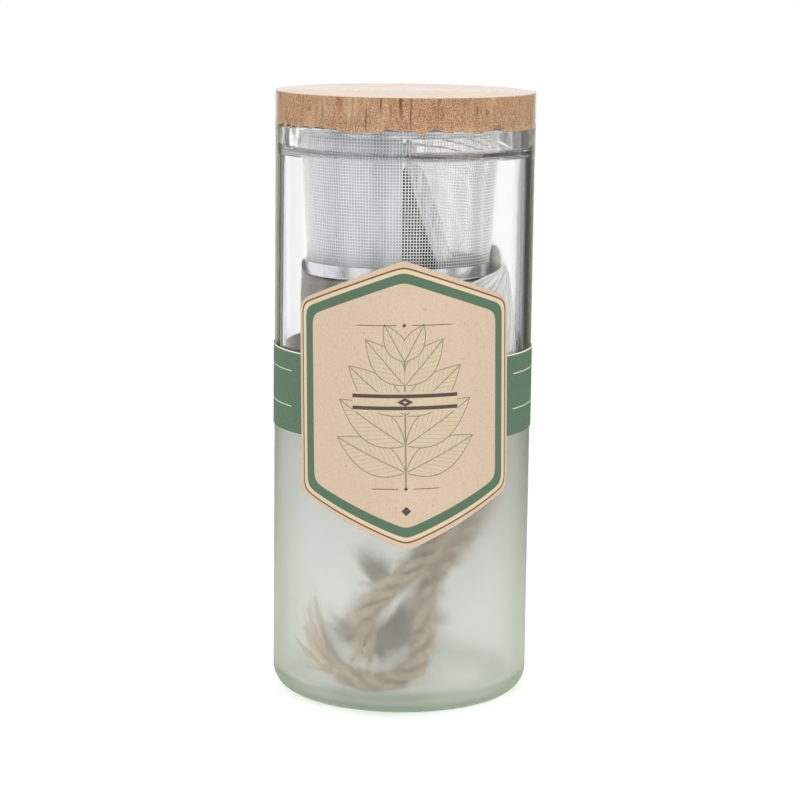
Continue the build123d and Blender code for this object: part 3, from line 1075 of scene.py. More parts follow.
# %% Cork finish
cork_look = Finish("natural cork")
cork_point = cork_look.point()
cork_x, cork_y, cork_z = cork_look.split(cork_point)
cork_normal_z = cork_look.split(cork_look.node("ShaderNodeNewGeometry", output="Normal"))[2]
cork_turn = cork_look.math("ARCTAN2", cork_y, cork_x) * cork_radius
streaks = cork_look.noise(cork_look.combine(cork_turn, 0.0, cork_z * 0.16), 0.75, 4.0, 0.62)
lenticels = cork_look.noise(cork_look.combine(cork_turn, 7.0, cork_z * 0.05), 0.42, 2.0).step(0.61, 0.70)
grain = cork_look.noise(cork_point, 2.3, 5.0, 0.82)
cells = cork_look.spots(cork_point, 2.6)
blotch = cork_look.stretched(cork_point, (1.0, 1.0, 0.3), 0.16, 2.0)
growth = cork_look.stretched(cork_point, (0.16, 1.0, 1.0), 0.42, 4.0, 0.6)
bitten = cork_z.drop(cork_bottom + 0.5, cork_bottom + 1.6) * grain.step(0.45, 0.6)
on_top = abs(cork_normal_z).step(0.75, 0.95)
side_colour = cork_look.coats(
    (118, 80, 53), (grain.step(0.36, 0.64), (206, 167, 131)), (streaks.step(0.5, 0.75) * 0.6, (118, 82, 56)),
    (lenticels * 0.75, (78, 46, 30)), (cells.step(0.14, 0.05) * 0.5, (92, 58, 38)),
    (blotch.step(0.52, 0.75) * 0.35, (214, 184, 152)), (bitten * 0.5, (222, 196, 166)),
)
# The top is painted far paler than the side: painted light from above, under the growth lines and cells
painted_light_top = cork_look.coats(
    (224, 205, 190), (grain.step(0.3, 0.75), (235, 222, 210)),
    (growth.step(0.56, 0.72) * 0.35, (204, 172, 146)), (cells.step(0.12, 0.05) * 0.4, (176, 140, 112)),
)
cork_colour = cork_look.mix(on_top, side_colour, painted_light_top)
bark_height = (streaks * 0.25 - lenticels * 0.35) * (1.0 - on_top)
cork_material = cork_look.paint(cork_colour, 0.88, grain * 0.3 + bark_height, 0.85)
finish_piece(cork, "cork_disc", cork_material, "lid", "cork", "cork_lid")
print("cork finish", cork_material.name)

# %% [markdown]
# ## Paper band and label
# Both are sheets wrapped round the glass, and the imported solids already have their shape, so they only need
# print. The band is dark green paper with a pale cut edge and thin rules at its sides. Its inner face,
# which shows through the glass at the back, is bare kraft.

# %% Band finish
band_top = high("paper_band").z
band_bottom = low("paper_band").z
paper_start = jar_radius + 0.05
rule_width = 0.28
rule_rises = (8.8, 20.8)
rule_panel = (math.radians(57), math.radians(160))

band = Finish("green band paper")
band_point = band.point()
band_x, band_y, band_z = band.split(band_point)
band_turn = abs(front_bearing(band_x, band_y))
band_fibres = band.noise(band_point, 1.4, 4.0, 0.65)
rules = 0.0
for rise in rule_rises:
    rules = band_z.line(band_bottom + rise, rule_width / 2, 0.08) + rules
rules = rules * (band_turn > rule_panel[0]) * (band_turn < rule_panel[1])
cut_edge = band_z.step(band_top - 0.5, band_top - 0.25)
bare_kraft = band.mix(band_fibres.step(0.3, 0.7), (128, 121, 112), (158, 148, 134))
inner_face = reach_of(band_x, band_y).drop(paper_start + 0.12, paper_start + 0.2)
band_colour = band.coats(
    (72, 97, 75), (band_fibres.step(0.25, 0.8), (88, 113, 90)), (rules, (212, 214, 190)),
    (cut_edge, (225, 226, 208)), (inner_face, bare_kraft),
)
give("paper_band", band.paint(band_colour, 0.72, band_fibres * 0.03, 0.6))
print("band printed from", round(band_bottom, 1), "to", round(band_top, 1), "mm")

# %% [markdown]
# The label is an upright hexagon of kraft paper. Its border follows the edge: a thin brown line with a
# bronze glint, a cream gap and a green stripe. The field holds a plain sprig of paired leaves in green line
# work with a divider across it. All of it is worked out from the distance to the edges of the sheet, so the
# printing stays sharp at any size. A sheet turned a little clockwise on the jar needs its own axes.

# %% Axes of the label and distance to its edge
label_inner = 44.4
label_half_width = 39.3
label_half_height = 48.35
label_side_top = 34.1
label_side_bottom = -30.7
label_centre = 105.9
label_shift = 1
label_lean = math.radians(1.3)
tip_softness = 2
corner_softness = 4.5

label = Finish("kraft label")
label_point = label.point()
label_x, label_y, label_z = label.split(label_point)
label_along = front_bearing(label_x, label_y) * label_inner - label_shift
label_rise = label_z - label_centre
across = label_along * math.cos(label_lean) + label_rise * math.sin(label_lean)
up = label_rise * math.cos(label_lean) - label_along * math.sin(label_lean)
rounded_across = (across * across + float(tip_softness ** 2)).root()


def slope_distance(side_height, tip_height):
    """Distance to the slanting edge between the side and the tip of the hexagon."""
    fall = abs(tip_height) - abs(side_height)
    length = math.hypot(fall, label_half_width)
    normal_across, normal_up = fall / length, label_half_width / length
    upward = up if tip_height > 0 else -up
    return abs(tip_height) * normal_up - (rounded_across * normal_across + upward * normal_up)


margin = label_half_width - abs(across)
margin = margin.soft_min(slope_distance(label_side_top, label_half_height), corner_softness)
margin = margin.soft_min(slope_distance(label_side_bottom, -label_half_height), corner_softness)

# %% Sprig of paired leaves
ink_width = 0.17
stem_foot = -27
stem_top = 22
leaf_line = 0.1
vein_gap = 2.3
# Height of the root on the stem, lean in degrees, length and half width of each pair of leaves
leaf_rows = [(-22, 64, 26, 5.6), (-13, 56, 27, 5.9), (-3, 49, 25, 5.4), (7, 40, 20, 4.5), (15, 28, 14, 3.3)]

half = abs(across)
ink = half.line(0.0, 0.28, 0.1) * (up > stem_foot) * (up < stem_top)
leaf_fill = 0.0
for base, lean_degrees, length, width in leaf_rows:
    lean = math.radians(lean_degrees)
    local_up = up - base
    lengthwise_place = half * math.sin(lean) + local_up * math.cos(lean)
    sideways = abs(half * math.cos(lean) - local_up * math.sin(lean))
    share = lengthwise_place / length
    within = (share > 0.02) * (share < 1.0)
    beyond_edge = sideways - share * (1.0 - share) * (4.0 * width) * (1.25 - share * 0.5)
    body = within * beyond_edge.drop(-0.1, 0.1)
    outline = within * beyond_edge.line(0.0, ink_width, 0.1)
    rib = within * sideways.line(0.0, ink_width, 0.08)
    vein_place = (lengthwise_place - sideways * 1.3).fold(vein_gap / 2)
    veins = body * vein_place.line(0.0, leaf_line, 0.08) * 0.7
    # A nearer leaf hides the ink of the leaf behind it
    ink = (ink * (1.0 - body)).larger(outline).larger(rib).larger(veins)
    leaf_fill = body.larger(leaf_fill)
print("sprig drawn,", 2 * len(leaf_rows), "leaves")

# %% Divider and small ornaments
divider_height = 1.6
divider_half_length = 17.5
upper_rule_height = 27
lower_rule_height = -27.5
bar_half_width = 0.62
fine_half_width = 0.13

bar = half.drop(divider_half_length, divider_half_length + 0.2)
clear_field = bar * up.line(divider_height, 3.4, 0.15)
lozenge_place = half * 0.8 + abs(up - divider_height) * 1.5
dark_print = lozenge_place.drop(2.0, 2.3) * (lozenge_place > 0.7)
for height in (divider_height + 2.0, divider_height - 2.0):
    dark_print = dark_print.larger(bar * up.line(height, bar_half_width, 0.1))
for height, start, end in ((upper_rule_height, 15.0, 17.0), (lower_rule_height, 10.5, 12.0)):
    fine_rule = half.drop(start, end) * (half > 2.6) * up.line(height, fine_half_width, 0.08)
    dark_print = dark_print.larger(fine_rule)
for height, size in ((upper_rule_height, 0.6), (lower_rule_height, 0.6), (lower_rule_height - 7.5, 1.5)):
    dark_print = dark_print.larger((half + abs(up - height)).drop(size, size + 0.25))

# %% Label finish
kraft_noise = label.noise(label_point, 2.2, 4.0, 0.7)
hair_warp = label.noise(label_point, 0.35, 2.0)
hairs = 0.0
for turn, shift_by in ((0.5, 0.0), (-0.9, 31.0), (1.5, 57.0)):
    along_hair = across * math.cos(turn) + up * math.sin(turn)
    over_hair = up * math.cos(turn) - across * math.sin(turn) + hair_warp * 4.0
    hair_place = label.combine(along_hair * 0.42 + shift_by, over_hair * 3.2, 0.0)
    hairs = label.spots(hair_place, 0.8).step(0.19, 0.11).larger(hairs)
flecks = label.spots(label_point, 1.5).step(0.08, 0.04)
cream, stripe = margin.line(2.65, 0.75, 0.08), margin.line(4.85, 1.55, 0.08)
bronze, brown = margin.line(2.0, 0.14, 0.06), margin.line(1.72, 0.24, 0.07)
back_side = reach_of(label_x, label_y).drop(label_inner + 0.1, label_inner + 0.2)
printed = label.coats(
    (189, 167, 144), (kraft_noise.step(0.2, 0.85), (204, 184, 162)), (hairs * 0.5, (160, 132, 104)),
    (flecks * 0.3, (148, 120, 94)), (leaf_fill * 0.22, (196, 184, 150)),
    (ink * (1.0 - clear_field) * 0.8, (104, 110, 82)), (dark_print * 0.92, (54, 38, 36)),
    (cream * 0.4, (220, 204, 172)), (stripe, (80, 105, 82)), (bronze * 0.8, (214, 178, 112)),
    (brown, (92, 54, 30)), (back_side, (196, 176, 150)),
)
sheen = 0.78 - bronze.larger(brown) * 0.45
give("front_label", label.paint(printed, sheen, kraft_noise * 0.03 + hairs * 0.012, 0.7))
print("label printed")

# %% [markdown]
# ## Net pot
# The pot is a tapered wall of woven steel wire, held by a spun rim in the mouth of the jar and a polished
# hoop at its foot. A transparent pattern on a plain cone has no thickness at its outline, so the cloth is
# made of wires. The upright wires are straight, and each ring weaves in front of one and behind the next.

# %% Wires of the wall
wire_radius = 0.125
weave_reach = 0.19
warp_count = 204
ring_count = 49
mesh_thickness = 0.6
pot_offset = -1.8

mesh_low = low("pot_wall_mesh").z
mesh_high = high("pot_wall_mesh").z
mesh_top_radius = high("pot_wall_mesh").x - pot_offset - mesh_thickness / 2
mesh_taper_width = 2.7
mesh_foot_radius = mesh_top_radius - mesh_taper_width


def cloth_radius(height):
    """Middle of the wire cloth at a height."""
    share = (height - mesh_low) / (mesh_high - mesh_low)
    return mesh_foot_radius + share * mesh_taper_width


deselect_all()
bpy.ops.mesh.primitive_torus_add(
    major_segments=2 * warp_count, minor_segments=4, major_radius=mesh_top_radius * MM,
    minor_radius=wire_radius * MM,
)
plain_ring = bpy.context.object


def woven(point, side):
    """A ring pushed out over one upright wire and in behind the next."""
    angle = math.atan2(point.y, point.x)
    push = side * weave_reach * math.cos(warp_count / 2 * angle)
    out = Vector((math.cos(angle), math.sin(angle), 0))
    return point + out * push


rings = []
for number in range(ring_count):
    height = mesh_low + (number + 0.5) * (mesh_high - mesh_low) / ring_count
    ring = copied(plain_ring)
    reshape(ring, lambda co, side=(-1) ** number: woven(co, side))
    scale = cloth_radius(height) / mesh_top_radius
    ring.data.transform(Matrix.Diagonal((scale, scale, 1, 1)))
    ring.data.transform(Matrix.Translation((pot_offset * MM, 0, height * MM)))
    rings.append(ring)
bpy.data.objects.remove(plain_ring)
wall_rings = joined(rings, "wall_rings")
smooth(wall_rings, 80)

deselect_all()
slope = math.atan2(mesh_taper_width, mesh_high - mesh_low)
warp_length = (mesh_high - mesh_low) / math.cos(slope) - 0.1
middle_height = (mesh_low + mesh_high) / 2
bpy.ops.mesh.primitive_cylinder_add(
    vertices=6, radius=wire_radius * MM, depth=warp_length * MM, end_fill_type="TRIFAN",
    location=(cloth_radius(middle_height) * MM, 0, middle_height * MM), rotation=(0, slope, 0),
)
plain_warp = bpy.context.object
apply_place(plain_warp)
shift = Matrix.Translation((pot_offset * MM, 0, 0))
warps = [
    copied(plain_warp, shift @ Matrix.Rotation(2 * math.pi * number / warp_count, 4, "Z"))
    for number in range(warp_count)
]
bpy.data.objects.remove(plain_warp)
wall_warps = joined(warps, "wall_warps")
smooth(wall_warps, 80)
print("wall cloth", len(wall_rings.data.polygons) + len(wall_warps.data.polygons), "faces")

# %% Wires of the floor of the pot
floor_wire_gap = 1.05
floor_cloth_radius = high("pot_base_mesh").x - pot_offset
floor_hole = 4.1
floor_height = (low("pot_base_mesh").z + high("pot_base_mesh").z) / 2
crimp = 0.16


def straight_wire(start, end, offset, crimped, turned):
    """A wire of the floor cloth between two places, level or waved over the crossing wires."""
    deselect_all()
    bpy.ops.mesh.primitive_cylinder_add(
        vertices=4, radius=wire_radius * MM, depth=(end - start) * MM,
        location=((start + end) / 2 * MM, offset * MM, 0), rotation=(0, math.pi / 2, 0),
    )
    wire = bpy.context.object
    apply_place(wire)
    if crimped:
        open_edit(wire, "EDGE")
        pick(wire, lambda middle: start + 0.05 < middle.x < end - 0.05, "edges")
        bpy.ops.mesh.subdivide(number_cuts=max(1, round(2 * (end - start) / floor_wire_gap) - 1))
        close_edit()
        phase = 0 if round(offset / floor_wire_gap) % 2 else math.pi
        waves = math.pi / floor_wire_gap
        reshape(wire, lambda co: co + Vector((0, 0, crimp * math.cos(waves * co.x + phase))))
    if turned:
        wire.data.transform(Matrix.Rotation(math.pi / 2, 4, "Z"))
    return wire


floor_wires = []
rows = int(floor_cloth_radius / floor_wire_gap)
for turned_way in (False, True):
    for row in range(-rows, rows + 1):
        offset = row * floor_wire_gap
        reach = math.sqrt(floor_cloth_radius ** 2 - offset ** 2)
        if reach < 1:
            continue
        inner = math.sqrt(floor_hole ** 2 - offset ** 2) if abs(offset) < floor_hole else 0
        stretches = [(-reach, -inner), (inner, reach)] if inner else [(-reach, reach)]
        for start, end in stretches:
            floor_wires.append(straight_wire(start, end, offset, not turned_way, turned_way))
floor_cloth = joined(floor_wires, "floor_cloth")
floor_cloth.data.transform(Matrix.Translation((pot_offset * MM, 0, floor_height * MM)))
smooth(floor_cloth, 80)
print("floor cloth", len(floor_cloth.data.polygons), "faces")


# %% Steel finishes
def wire_finish(name, dark, pale, foot_shade):
    """Steel wire between two tones, with a share of shade in the wires next to the hoop at the foot."""
    wire = Finish(name)
    place = wire.point()
    tone = wire.noise(place, 0.9, 2.0)
    near_foot = wire.split(place)[2].step(mesh_low + 1, mesh_low + 11, foot_shade, 0.0)
    look = wire.coats(dark, (tone, pale), (near_foot, (96, 99, 100)))
    return wire.show(wire.principled({"Base Color": look, "Metallic": 0.2, "Roughness": 0.34 + tone * 0.12}))


wall_wire = wire_finish("steel wire", (242, 243, 240), (252, 252, 249), 0.5)
floor_wire = wire_finish("steel wire in the shade", (92, 94, 94), (124, 125, 124), 0.0)
finish_piece(wall_rings, "wall_rings", wall_wire, "net_pot", "steel_mesh", "pot_wall_mesh")
finish_piece(wall_warps, "wall_warps", wall_wire, "net_pot", "steel_mesh", "pot_wall_mesh")
finish_piece(floor_cloth, "floor_cloth", floor_wire, "net_pot", "steel_mesh", "pot_base_mesh")

steel = Finish("polished steel")
lines = steel.stretched(steel.point(), (0.25, 0.25, 9.0), 1.0, 3.0)
smears = steel.noise(steel.point(), 0.3, 2.0)
steel_colour = steel.mix(smears, (216, 219, 224), (236, 238, 240))
steel_material = steel.paint(steel_colour, 0.2 + smears * 0.08, lines * 0.0012, 0.5, Metallic=0.9)
for node in ("pot_rim", "pot_base_band", "wick_eyelet"):
    give(node, steel_material)
print("steel finishes ready")

# %% [markdown]
# ## Films
# The bags are thin film, so light goes straight through and only creases and steep places show. A solid
# glass material would bend light as a full block does. These finishes keep a low alpha, raised at the
# outline and on the creases, with a sharp gloss over them.


# %% Film finish
def film_finish(name, tint, clear_alpha, edge_alpha, streak_alpha, crease):
    """Clear film, with more alpha where it turns away and on its creases, where its pale tint paints their
    highlights.
    """
    film = Finish(name)
    place = film.point()
    creases = film.noise(place, crease, 4.0, 0.6)
    ridge = abs(creases - 0.5) * 2.0
    fine = film.noise(place, crease * 3.1, 3.0)
    # More alpha on the creases shows the pale tint there as painted highlights
    alpha = film.facing(0.35).step(0.35, 1.0, clear_alpha, edge_alpha) + ridge.step(0.16, 0.02) * streak_alpha
    alpha = alpha + fine.step(0.58, 0.8) * (streak_alpha * 0.5)
    height = ridge * 0.35 + fine * 0.12
    return film.paint(colour(*tint), 0.14 + fine * 0.14, height, 0.8, Alpha=alpha.smaller(0.97))


# %% Starting forms
def add_sphere(name, segments, ring_number, rule):
    """A smooth sphere whose points are moved by a rule."""
    deselect_all()
    bpy.ops.mesh.primitive_uv_sphere_add(segments=segments, ring_count=ring_number, radius=MM)
    piece = rename(bpy.context.object, name)
    reshape(piece, rule)
    smooth(piece, 80)
    return piece


def add_block(name, cuts, rule, sharp):
    """A cube of many faces whose points are moved by a rule."""
    deselect_all()
    bpy.ops.mesh.primitive_cube_add(size=2 * MM)
    piece = rename(bpy.context.object, name)
    open_edit(piece)
    bpy.ops.mesh.select_all(action="SELECT")
    bpy.ops.mesh.subdivide(number_cuts=cuts)
    close_edit()
    reshape(piece, rule)
    open_edit(piece)
    tidy_mesh(0.0005)
    close_edit()
    smooth(piece, sharp)
    return piece


def add_sheet(name, steps_along, steps_across, rule, thickness, sharp):
    """A flat grid whose points are moved by a rule, made into a thin sheet."""
    deselect_all()
    bpy.ops.mesh.primitive_grid_add(x_subdivisions=steps_along, y_subdivisions=steps_across, size=2 * MM)
    piece = rename(bpy.context.object, name)
    reshape(piece, rule)
    thicken(piece, thickness)
    smooth(piece, sharp)
    return piece


# %% [markdown]
# ## Growing medium and its pouch
# Dry coir fills a clear pouch that stands on the wick, under the pot. A sphere whose points are pushed
# towards a squat cylinder makes its slack, rounded girth. A table says how each ring of the sphere lies
# between the foot of the pot and the girth. At the left a collar rises round the foot of the pot, and noise
# gives the dents that the filling leaves. The same form, drawn in a little, is the filling.

# %% Pouch and filling
pouch_high = high("growing_medium").z + 0.7
pouch_half_width = 35.8
pouch_half_depth = 35.7
pouch_shift = 0.3
pot_foot_reach = 32.7
collar_bearing = math.radians(175)
collar_rise = 3.8
collar_half_turn = math.radians(34)
tail_bearing = math.radians(52)
tail_dent = 2.1

# From the top of the pouch to its foot: polar degrees, shares of the reach of the pot's foot and of the
# girth, share of the collar's rise, fall in mm, and which way an inset goes, across and up
pouch_profile = np.array([
    (0, 0, 0, 0, 0, 0, -1), (28, 0.97, 0, 0, 0, 1, -1), (34, 1, 0, 0.15, 0, 1, -1), (40, 1, 0, 0.9, 0, 1, -1),
    (44, 0.5, 0.5, 1.05, 0, 0, -1), (48, 0, 0.99, 0.85, 0.5, -1, -1), (56, 0, 1, 0, 3, -1, -0.4),
    (66, 0, 1, 0, 8, -1, 0), (90, 0, 1, 0, 26, -1, 0), (126, 0, 1, 0, 45, -1, 0),
    (146, 0, 0.975, 0, 50.3, -1, 0.4), (160, 0, 0.89, 0, 52.2, -0.7, 0.8), (172, 0, 0.5, 0, 52.6, -0.3, 1),
    (180, 0, 0, 0, 52.8, 0, 1),
])


def pouch_form(point, inset, roughness):
    """Turn a unit sphere into the slack pouch, drawn in by an inset."""
    polar = math.degrees(math.acos(between(-1.0, point.z, 1.0)))
    foot_share, girth_share, rise_share, fall, inset_across, inset_up = [
        float(np.interp(polar, pouch_profile[:, 0], column)) for column in pouch_profile[:, 1:].T
    ]
    angle = math.atan2(point.y, point.x)
    sine, cosine = math.sin(angle), math.cos(angle)
    foot = pot_offset * cosine + math.sqrt(pot_foot_reach ** 2 - (pot_offset * sine) ** 2)
    girth = pouch_shift * cosine + math.hypot(pouch_half_width * cosine, pouch_half_depth * sine)
    radius = foot * foot_share + girth * girth_share + inset_across * inset
    from_collar = min(1.0, abs(angle_gap(angle, collar_bearing)) / collar_half_turn)
    collar = collar_rise * (0.5 + 0.5 * math.cos(math.pi * from_collar))
    z = pouch_high - fall + collar * rise_share + inset_up * inset
    place = Vector((radius * cosine, radius * sine, z))
    dent = 0.1 + 0.6 * noise.noise(place * 0.055) + 0.3 * noise.noise(place * 0.14)
    fold = 0.4 * abs(noise.noise(Vector((angle * 3.2, z * 0.03, 4.0))))
    grain = roughness * noise.noise(place * 0.7)
    bearing = math.atan2(place.x, -place.y)
    beside_tail = math.exp(-((bearing - tail_bearing) / 0.42) ** 2) * max(0.0, (z - 98) / 47)
    on_wall = between(0.0, (polar - 46) / 10, 1.0) * min(1.0, (180 - polar) / 30)
    draw = on_wall * (max(dent, 0.0) + fold + grain + tail_dent * beside_tail)
    return Vector(((radius - draw) * cosine, (radius - draw) * sine, z))


medium = add_sphere("coir_filling", 220, 120, lambda co: pouch_form(co, 0.4, 0.25))
pouch_film = add_sphere("pouch_film", 160, 90, lambda co: pouch_form(co, 0.02, 0.0))
print("pouch faces", len(medium.data.polygons) + len(pouch_film.data.polygons))

# %% Raised fold of the pouch, beside the foot of the pot
fold_x = 31.3
fold_half_thickness = 3.3
fold_half_width = 10.6
fold_foot = 132
fold_top = 155.3


def fold_form(point, inset):
    """A rounded lobe that stands up from the shoulder of the pouch."""
    rise = (point.z + 1) / 2
    ring = max(0.05, math.sqrt(max(0.0, 1 - point.z * point.z)))
    square = ring ** 0.5 / ring
    crumple = 0.4 * noise.noise(point * 1.6)
    bow = 0.9 * rise * rise
    x = fold_x - bow + point.x * square * (fold_half_thickness - inset) + crumple * 0.5
    y = point.y * square * (fold_half_width - inset) + crumple
    return Vector((x, y, fold_foot + rise * (fold_top - fold_foot - inset)))


fold_filling = add_sphere("fold_filling", 48, 32, lambda co: fold_form(co, 0.7))
fold_film = add_sphere("fold_film", 48, 32, lambda co: fold_form(co, 0.1))
medium = joined([medium, fold_filling], "coir_filling")
pouch_film = joined([pouch_film, fold_film], "pouch_film")
smooth(medium, 80)
smooth(pouch_film, 80)
print("fold joined to", medium.name, "and", pouch_film.name)

# %% [markdown]
# The slack end of the pouch lies beside it at the right, as a pleated fan of clear film. It is a flat grid
# whose columns run out from one root, with the pleats growing towards the hem, and then gets its thickness.

# %% Pleated tail
tail_root = (math.radians(71), 151)
tail_hem = (math.radians(24), 143.5, math.radians(88), 101.0)
tail_pleats = 9
tail_radius = 35.7
tail_limit = 39.2
tail_slack = 3.3


def tail_form(point):
    """Lay a flat grid round the pouch as a fan: x runs across the fan and y out from its root."""
    across_fan = (point.x + 1) / 2
    out = (point.y + 1) / 2
    start, start_height = tail_root
    near, near_height, far, far_height = tail_hem
    hem_bearing = near + (far - near) * across_fan
    hem_height = near_height + (far_height - near_height) * across_fan ** 0.9
    bearing = start + (hem_bearing - start) * (0.1 + 0.9 * out)
    height = start_height + (hem_height - start_height) * (0.06 + 0.94 * out ** 0.9)
    pleat = math.sin(across_fan * tail_pleats * 2 * math.pi + 1.5 * math.sin(out * 4))
    crumple = noise.noise(Vector((across_fan * 9, out * 5, 2.0)))
    slack = tail_slack * out ** 0.5 * between(0.0, (bearing - math.radians(48)) / math.radians(22), 1.0)
    radius = min(tail_limit, tail_radius + slack + (0.25 + 0.45 * out) * pleat + 0.4 * crumple)
    return Vector((radius * math.sin(bearing), -radius * math.cos(bearing), height))


tail = add_sheet("pouch_tail", 150, 50, tail_form, 0.09, 80)
print("pouch tail", len(tail.data.polygons), "faces")

# %% Coir and pouch finishes
coir = Finish("dry coir")
coir_place = coir.point()
coir_warp = coir.noise(coir_place, 0.35, 2.0)
coir_lines = coir.vector("ADD", coir_place, coir.combine(coir_warp * 9.0, coir_warp * 5.0, coir_warp * 11.0))
coir_fibres = coir.stretched(coir_lines, (1.0, 1.0, 3.4), 0.8, 5.0, 0.7)
crumbs = coir.spots(coir_place, 0.8)
coir_colour = coir.coats(
    (84, 77, 71), (coir_fibres.step(0.3, 0.72), (107, 99, 90)), (crumbs.step(0.3, 0.1) * 0.3, (84, 72, 62)),
    (coir.noise(coir_place, 0.06, 2.0).step(0.4, 0.7) * 0.35, (148, 142, 136)),
    # Paler above 148 mm, at the tops of the fold and the collar: painted light on the tops
    (coir.split(coir_place)[2].step(148, 151) * 0.6, (196, 184, 168)),
)
coir_material = coir.paint(coir_colour, 0.9, coir_fibres * 0.5 + crumbs * 0.4, 0.9)
pouch_material = film_finish("pouch film", (186, 182, 176), 0.10, 0.38, 0.08, 0.07)

# Nearly opaque pale film, painted bright as light shines through it from behind, with pale and grey
# streaks that run out from the root of the fan: painted light and shade on its pleats
pleats = Finish("tail film")
pleat_place = pleats.point()
pleat_x, pleat_y, pleat_z = pleats.split(pleat_place)
aside = (front_bearing(pleat_x, pleat_y) - tail_root[0]) * tail_radius
fan_turn = pleats.math("ARCTAN2", aside, pleat_z - tail_root[1] - 1.0)
fan_streaks = pleats.noise(pleats.combine(fan_turn * 9.0, 3.0, 0.0), 1.6, 4.0, 0.7)
tail_material = pleats.paint(
    pleats.mix(fan_streaks.step(0.34, 0.64), (186, 189, 186), (228, 229, 226)),
    0.25 + pleats.noise(pleat_place, 0.6, 2.0) * 0.1, fan_streaks * 0.8, 0.8,
    Alpha=0.82 + fan_streaks.step(0.4, 0.6) * 0.14,
)
finish_piece(medium, "coir_filling", coir_material, "medium_bag", "coir", "growing_medium")
finish_piece(pouch_film, "pouch_film", pouch_material, "medium_bag", "clear_film", "medium_pouch")
finish_piece(tail, "pouch_tail", tail_material, "medium_bag", "clear_film", "medium_pouch")
print("pouch finished")

# %% [markdown]
# ## Packets in the pot
# A blue-grey sachet of plant food stands along the front left of the wire wall and follows its curve. It
# starts as a cube with many faces: two axes become the bearing and the height, and the third its belly,
# which is drawn flat along the sealed edges.

# %% Plant food sachet
sachet_low = low("plant_food_sachet").z
sachet_crest = 3
sachet_high = high("plant_food_sachet").z + sachet_crest
sachet_start = math.radians(184)
sachet_end = math.radians(271.6)
sachet_foot_radius = 30.2
sachet_head_radius = 31.5
sachet_belly = 4.2
sachet_edge = 0.7
sachet_seal = 0.1
sachet_side_seal = 0.05
crease_share = 0.86


def sachet_form(point, inset, fill=1.0):
    """Wrap a cube of two units into the sachet, with its back along the wire wall."""
    across_share = (point.x + 1) / 2
    rise = (point.z + 1) / 2 * fill
    from_side = min(across_share, 1 - across_share)
    in_seal = max(0.0, 1 - min(rise, 1 - rise) / sachet_seal, 1 - from_side / sachet_side_seal)
    swell = max(0.0, 1 - in_seal) * math.sqrt(math.sin(math.pi * across_share) * math.sin(math.pi * rise))
    angle = sachet_start + (sachet_end - sachet_start) * across_share
    place = Vector((across_share * 5, rise * 3.4, 0.7))
    crumple = 0.5 * noise.noise(place) + 0.25 * noise.noise(place * 2.7)
    crease = math.exp(-((across_share - crease_share) / 0.03) ** 2) * (0.5 + 0.5 * math.sin(rise * 7))
    back = sachet_foot_radius + (sachet_head_radius - sachet_foot_radius) * rise
    back -= inset + max(0.0, 0.35 + crumple) * (1 - in_seal * 0.6) + 0.8 * crease * (1 - in_seal)
    depth = max(0.15, sachet_edge + (sachet_belly - sachet_edge) * swell - 2 * inset)
    ribs = 0.06 * math.sin(rise * 240) * (1 if in_seal > 0.2 else 0)
    radius = back + ribs - depth * (1 - point.y) / 2
    height = sachet_low + inset + rise * (sachet_high - sachet_low - 2 * inset)
    return Vector((pot_offset + radius * math.cos(angle), radius * math.sin(angle), height))


def grain_finish(name, dark, pale, size, roughness):
    """Loose grains: a colour for each cell, painted shade at the edges of the cells, and a bump that rounds
    it.
    """
    grains = Finish(name)
    place = grains.point()
    cell = grains.spots(place, 1 / size)
    tone = grains.split(grains.spots(place, 1 / size, "Color"))[0]
    shade = grains.coats(dark, (tone, pale), (cell.step(0.4, 0.75) * 0.6, (8, 8, 8)))
    return grains.paint(shade, roughness + tone * 0.3, (1.0 - cell) * size * 0.5, 0.9)


sachet = add_block("food_sachet", 63, lambda co: sachet_form(co, 0.0), 60)
food = add_block("food_granules", 30, lambda co: sachet_form(co, 0.28, 0.68), 60)

grey = Finish("blue grey film")
grey_place = grey.point()
grey_folds = grey.stretched(grey_place, (1.0, 1.0, 0.35), 0.16, 4.0, 0.6)
grey_fine = grey.noise(grey_place, 0.9, 3.0)
# Paler on the ridges of the folds, darker in their hollows: painted highlights and shade
grey_colour = grey.mix(grey_folds.step(0.3, 0.7), (176, 181, 190), (207, 211, 219))
grey_height = grey_folds * 0.6 + grey_fine * 0.05
grey_material = grey.paint(grey_colour, 0.4 + grey_fine * 0.1, grey_height, 0.7, Metallic=0.1)
food_material = grain_finish("plant food grains", (170, 168, 160), (214, 212, 204), 0.9, 0.6)
finish_piece(sachet, "food_sachet", grey_material, "plant_food", "grey_film", "plant_food_sachet")
finish_piece(food, "food_granules", food_material, "plant_food", "fertiliser", "plant_food_granules")
print("sachet faces", len(sachet.data.polygons))

# %% [markdown]
# The carbon comes in a clear bag with a round foot. Its film is drawn together at the top into pleats and
# ends in a small loop, so it reads as a pale cone with a dark foot. One rule gives the girth at each
# height, and the filling uses the same rule. The film is clear at the left of the bag and at its foot, and
# on the folded flap at its right it is pale and streaked, which paints the sheen of the film.

# %% Carbon bag
carbon_low = low("carbon_bag").z
carbon_high = high("carbon_bag").z
carbon_foot = Vector((8.3, -16.2))
carbon_lean = Vector((-7.4, -7.4))
carbon_half = (9.4, 8.8)
carbon_fill = 41
flap_foot = (9.6, 154.0)
flap_head = (-0.6, 186.0)


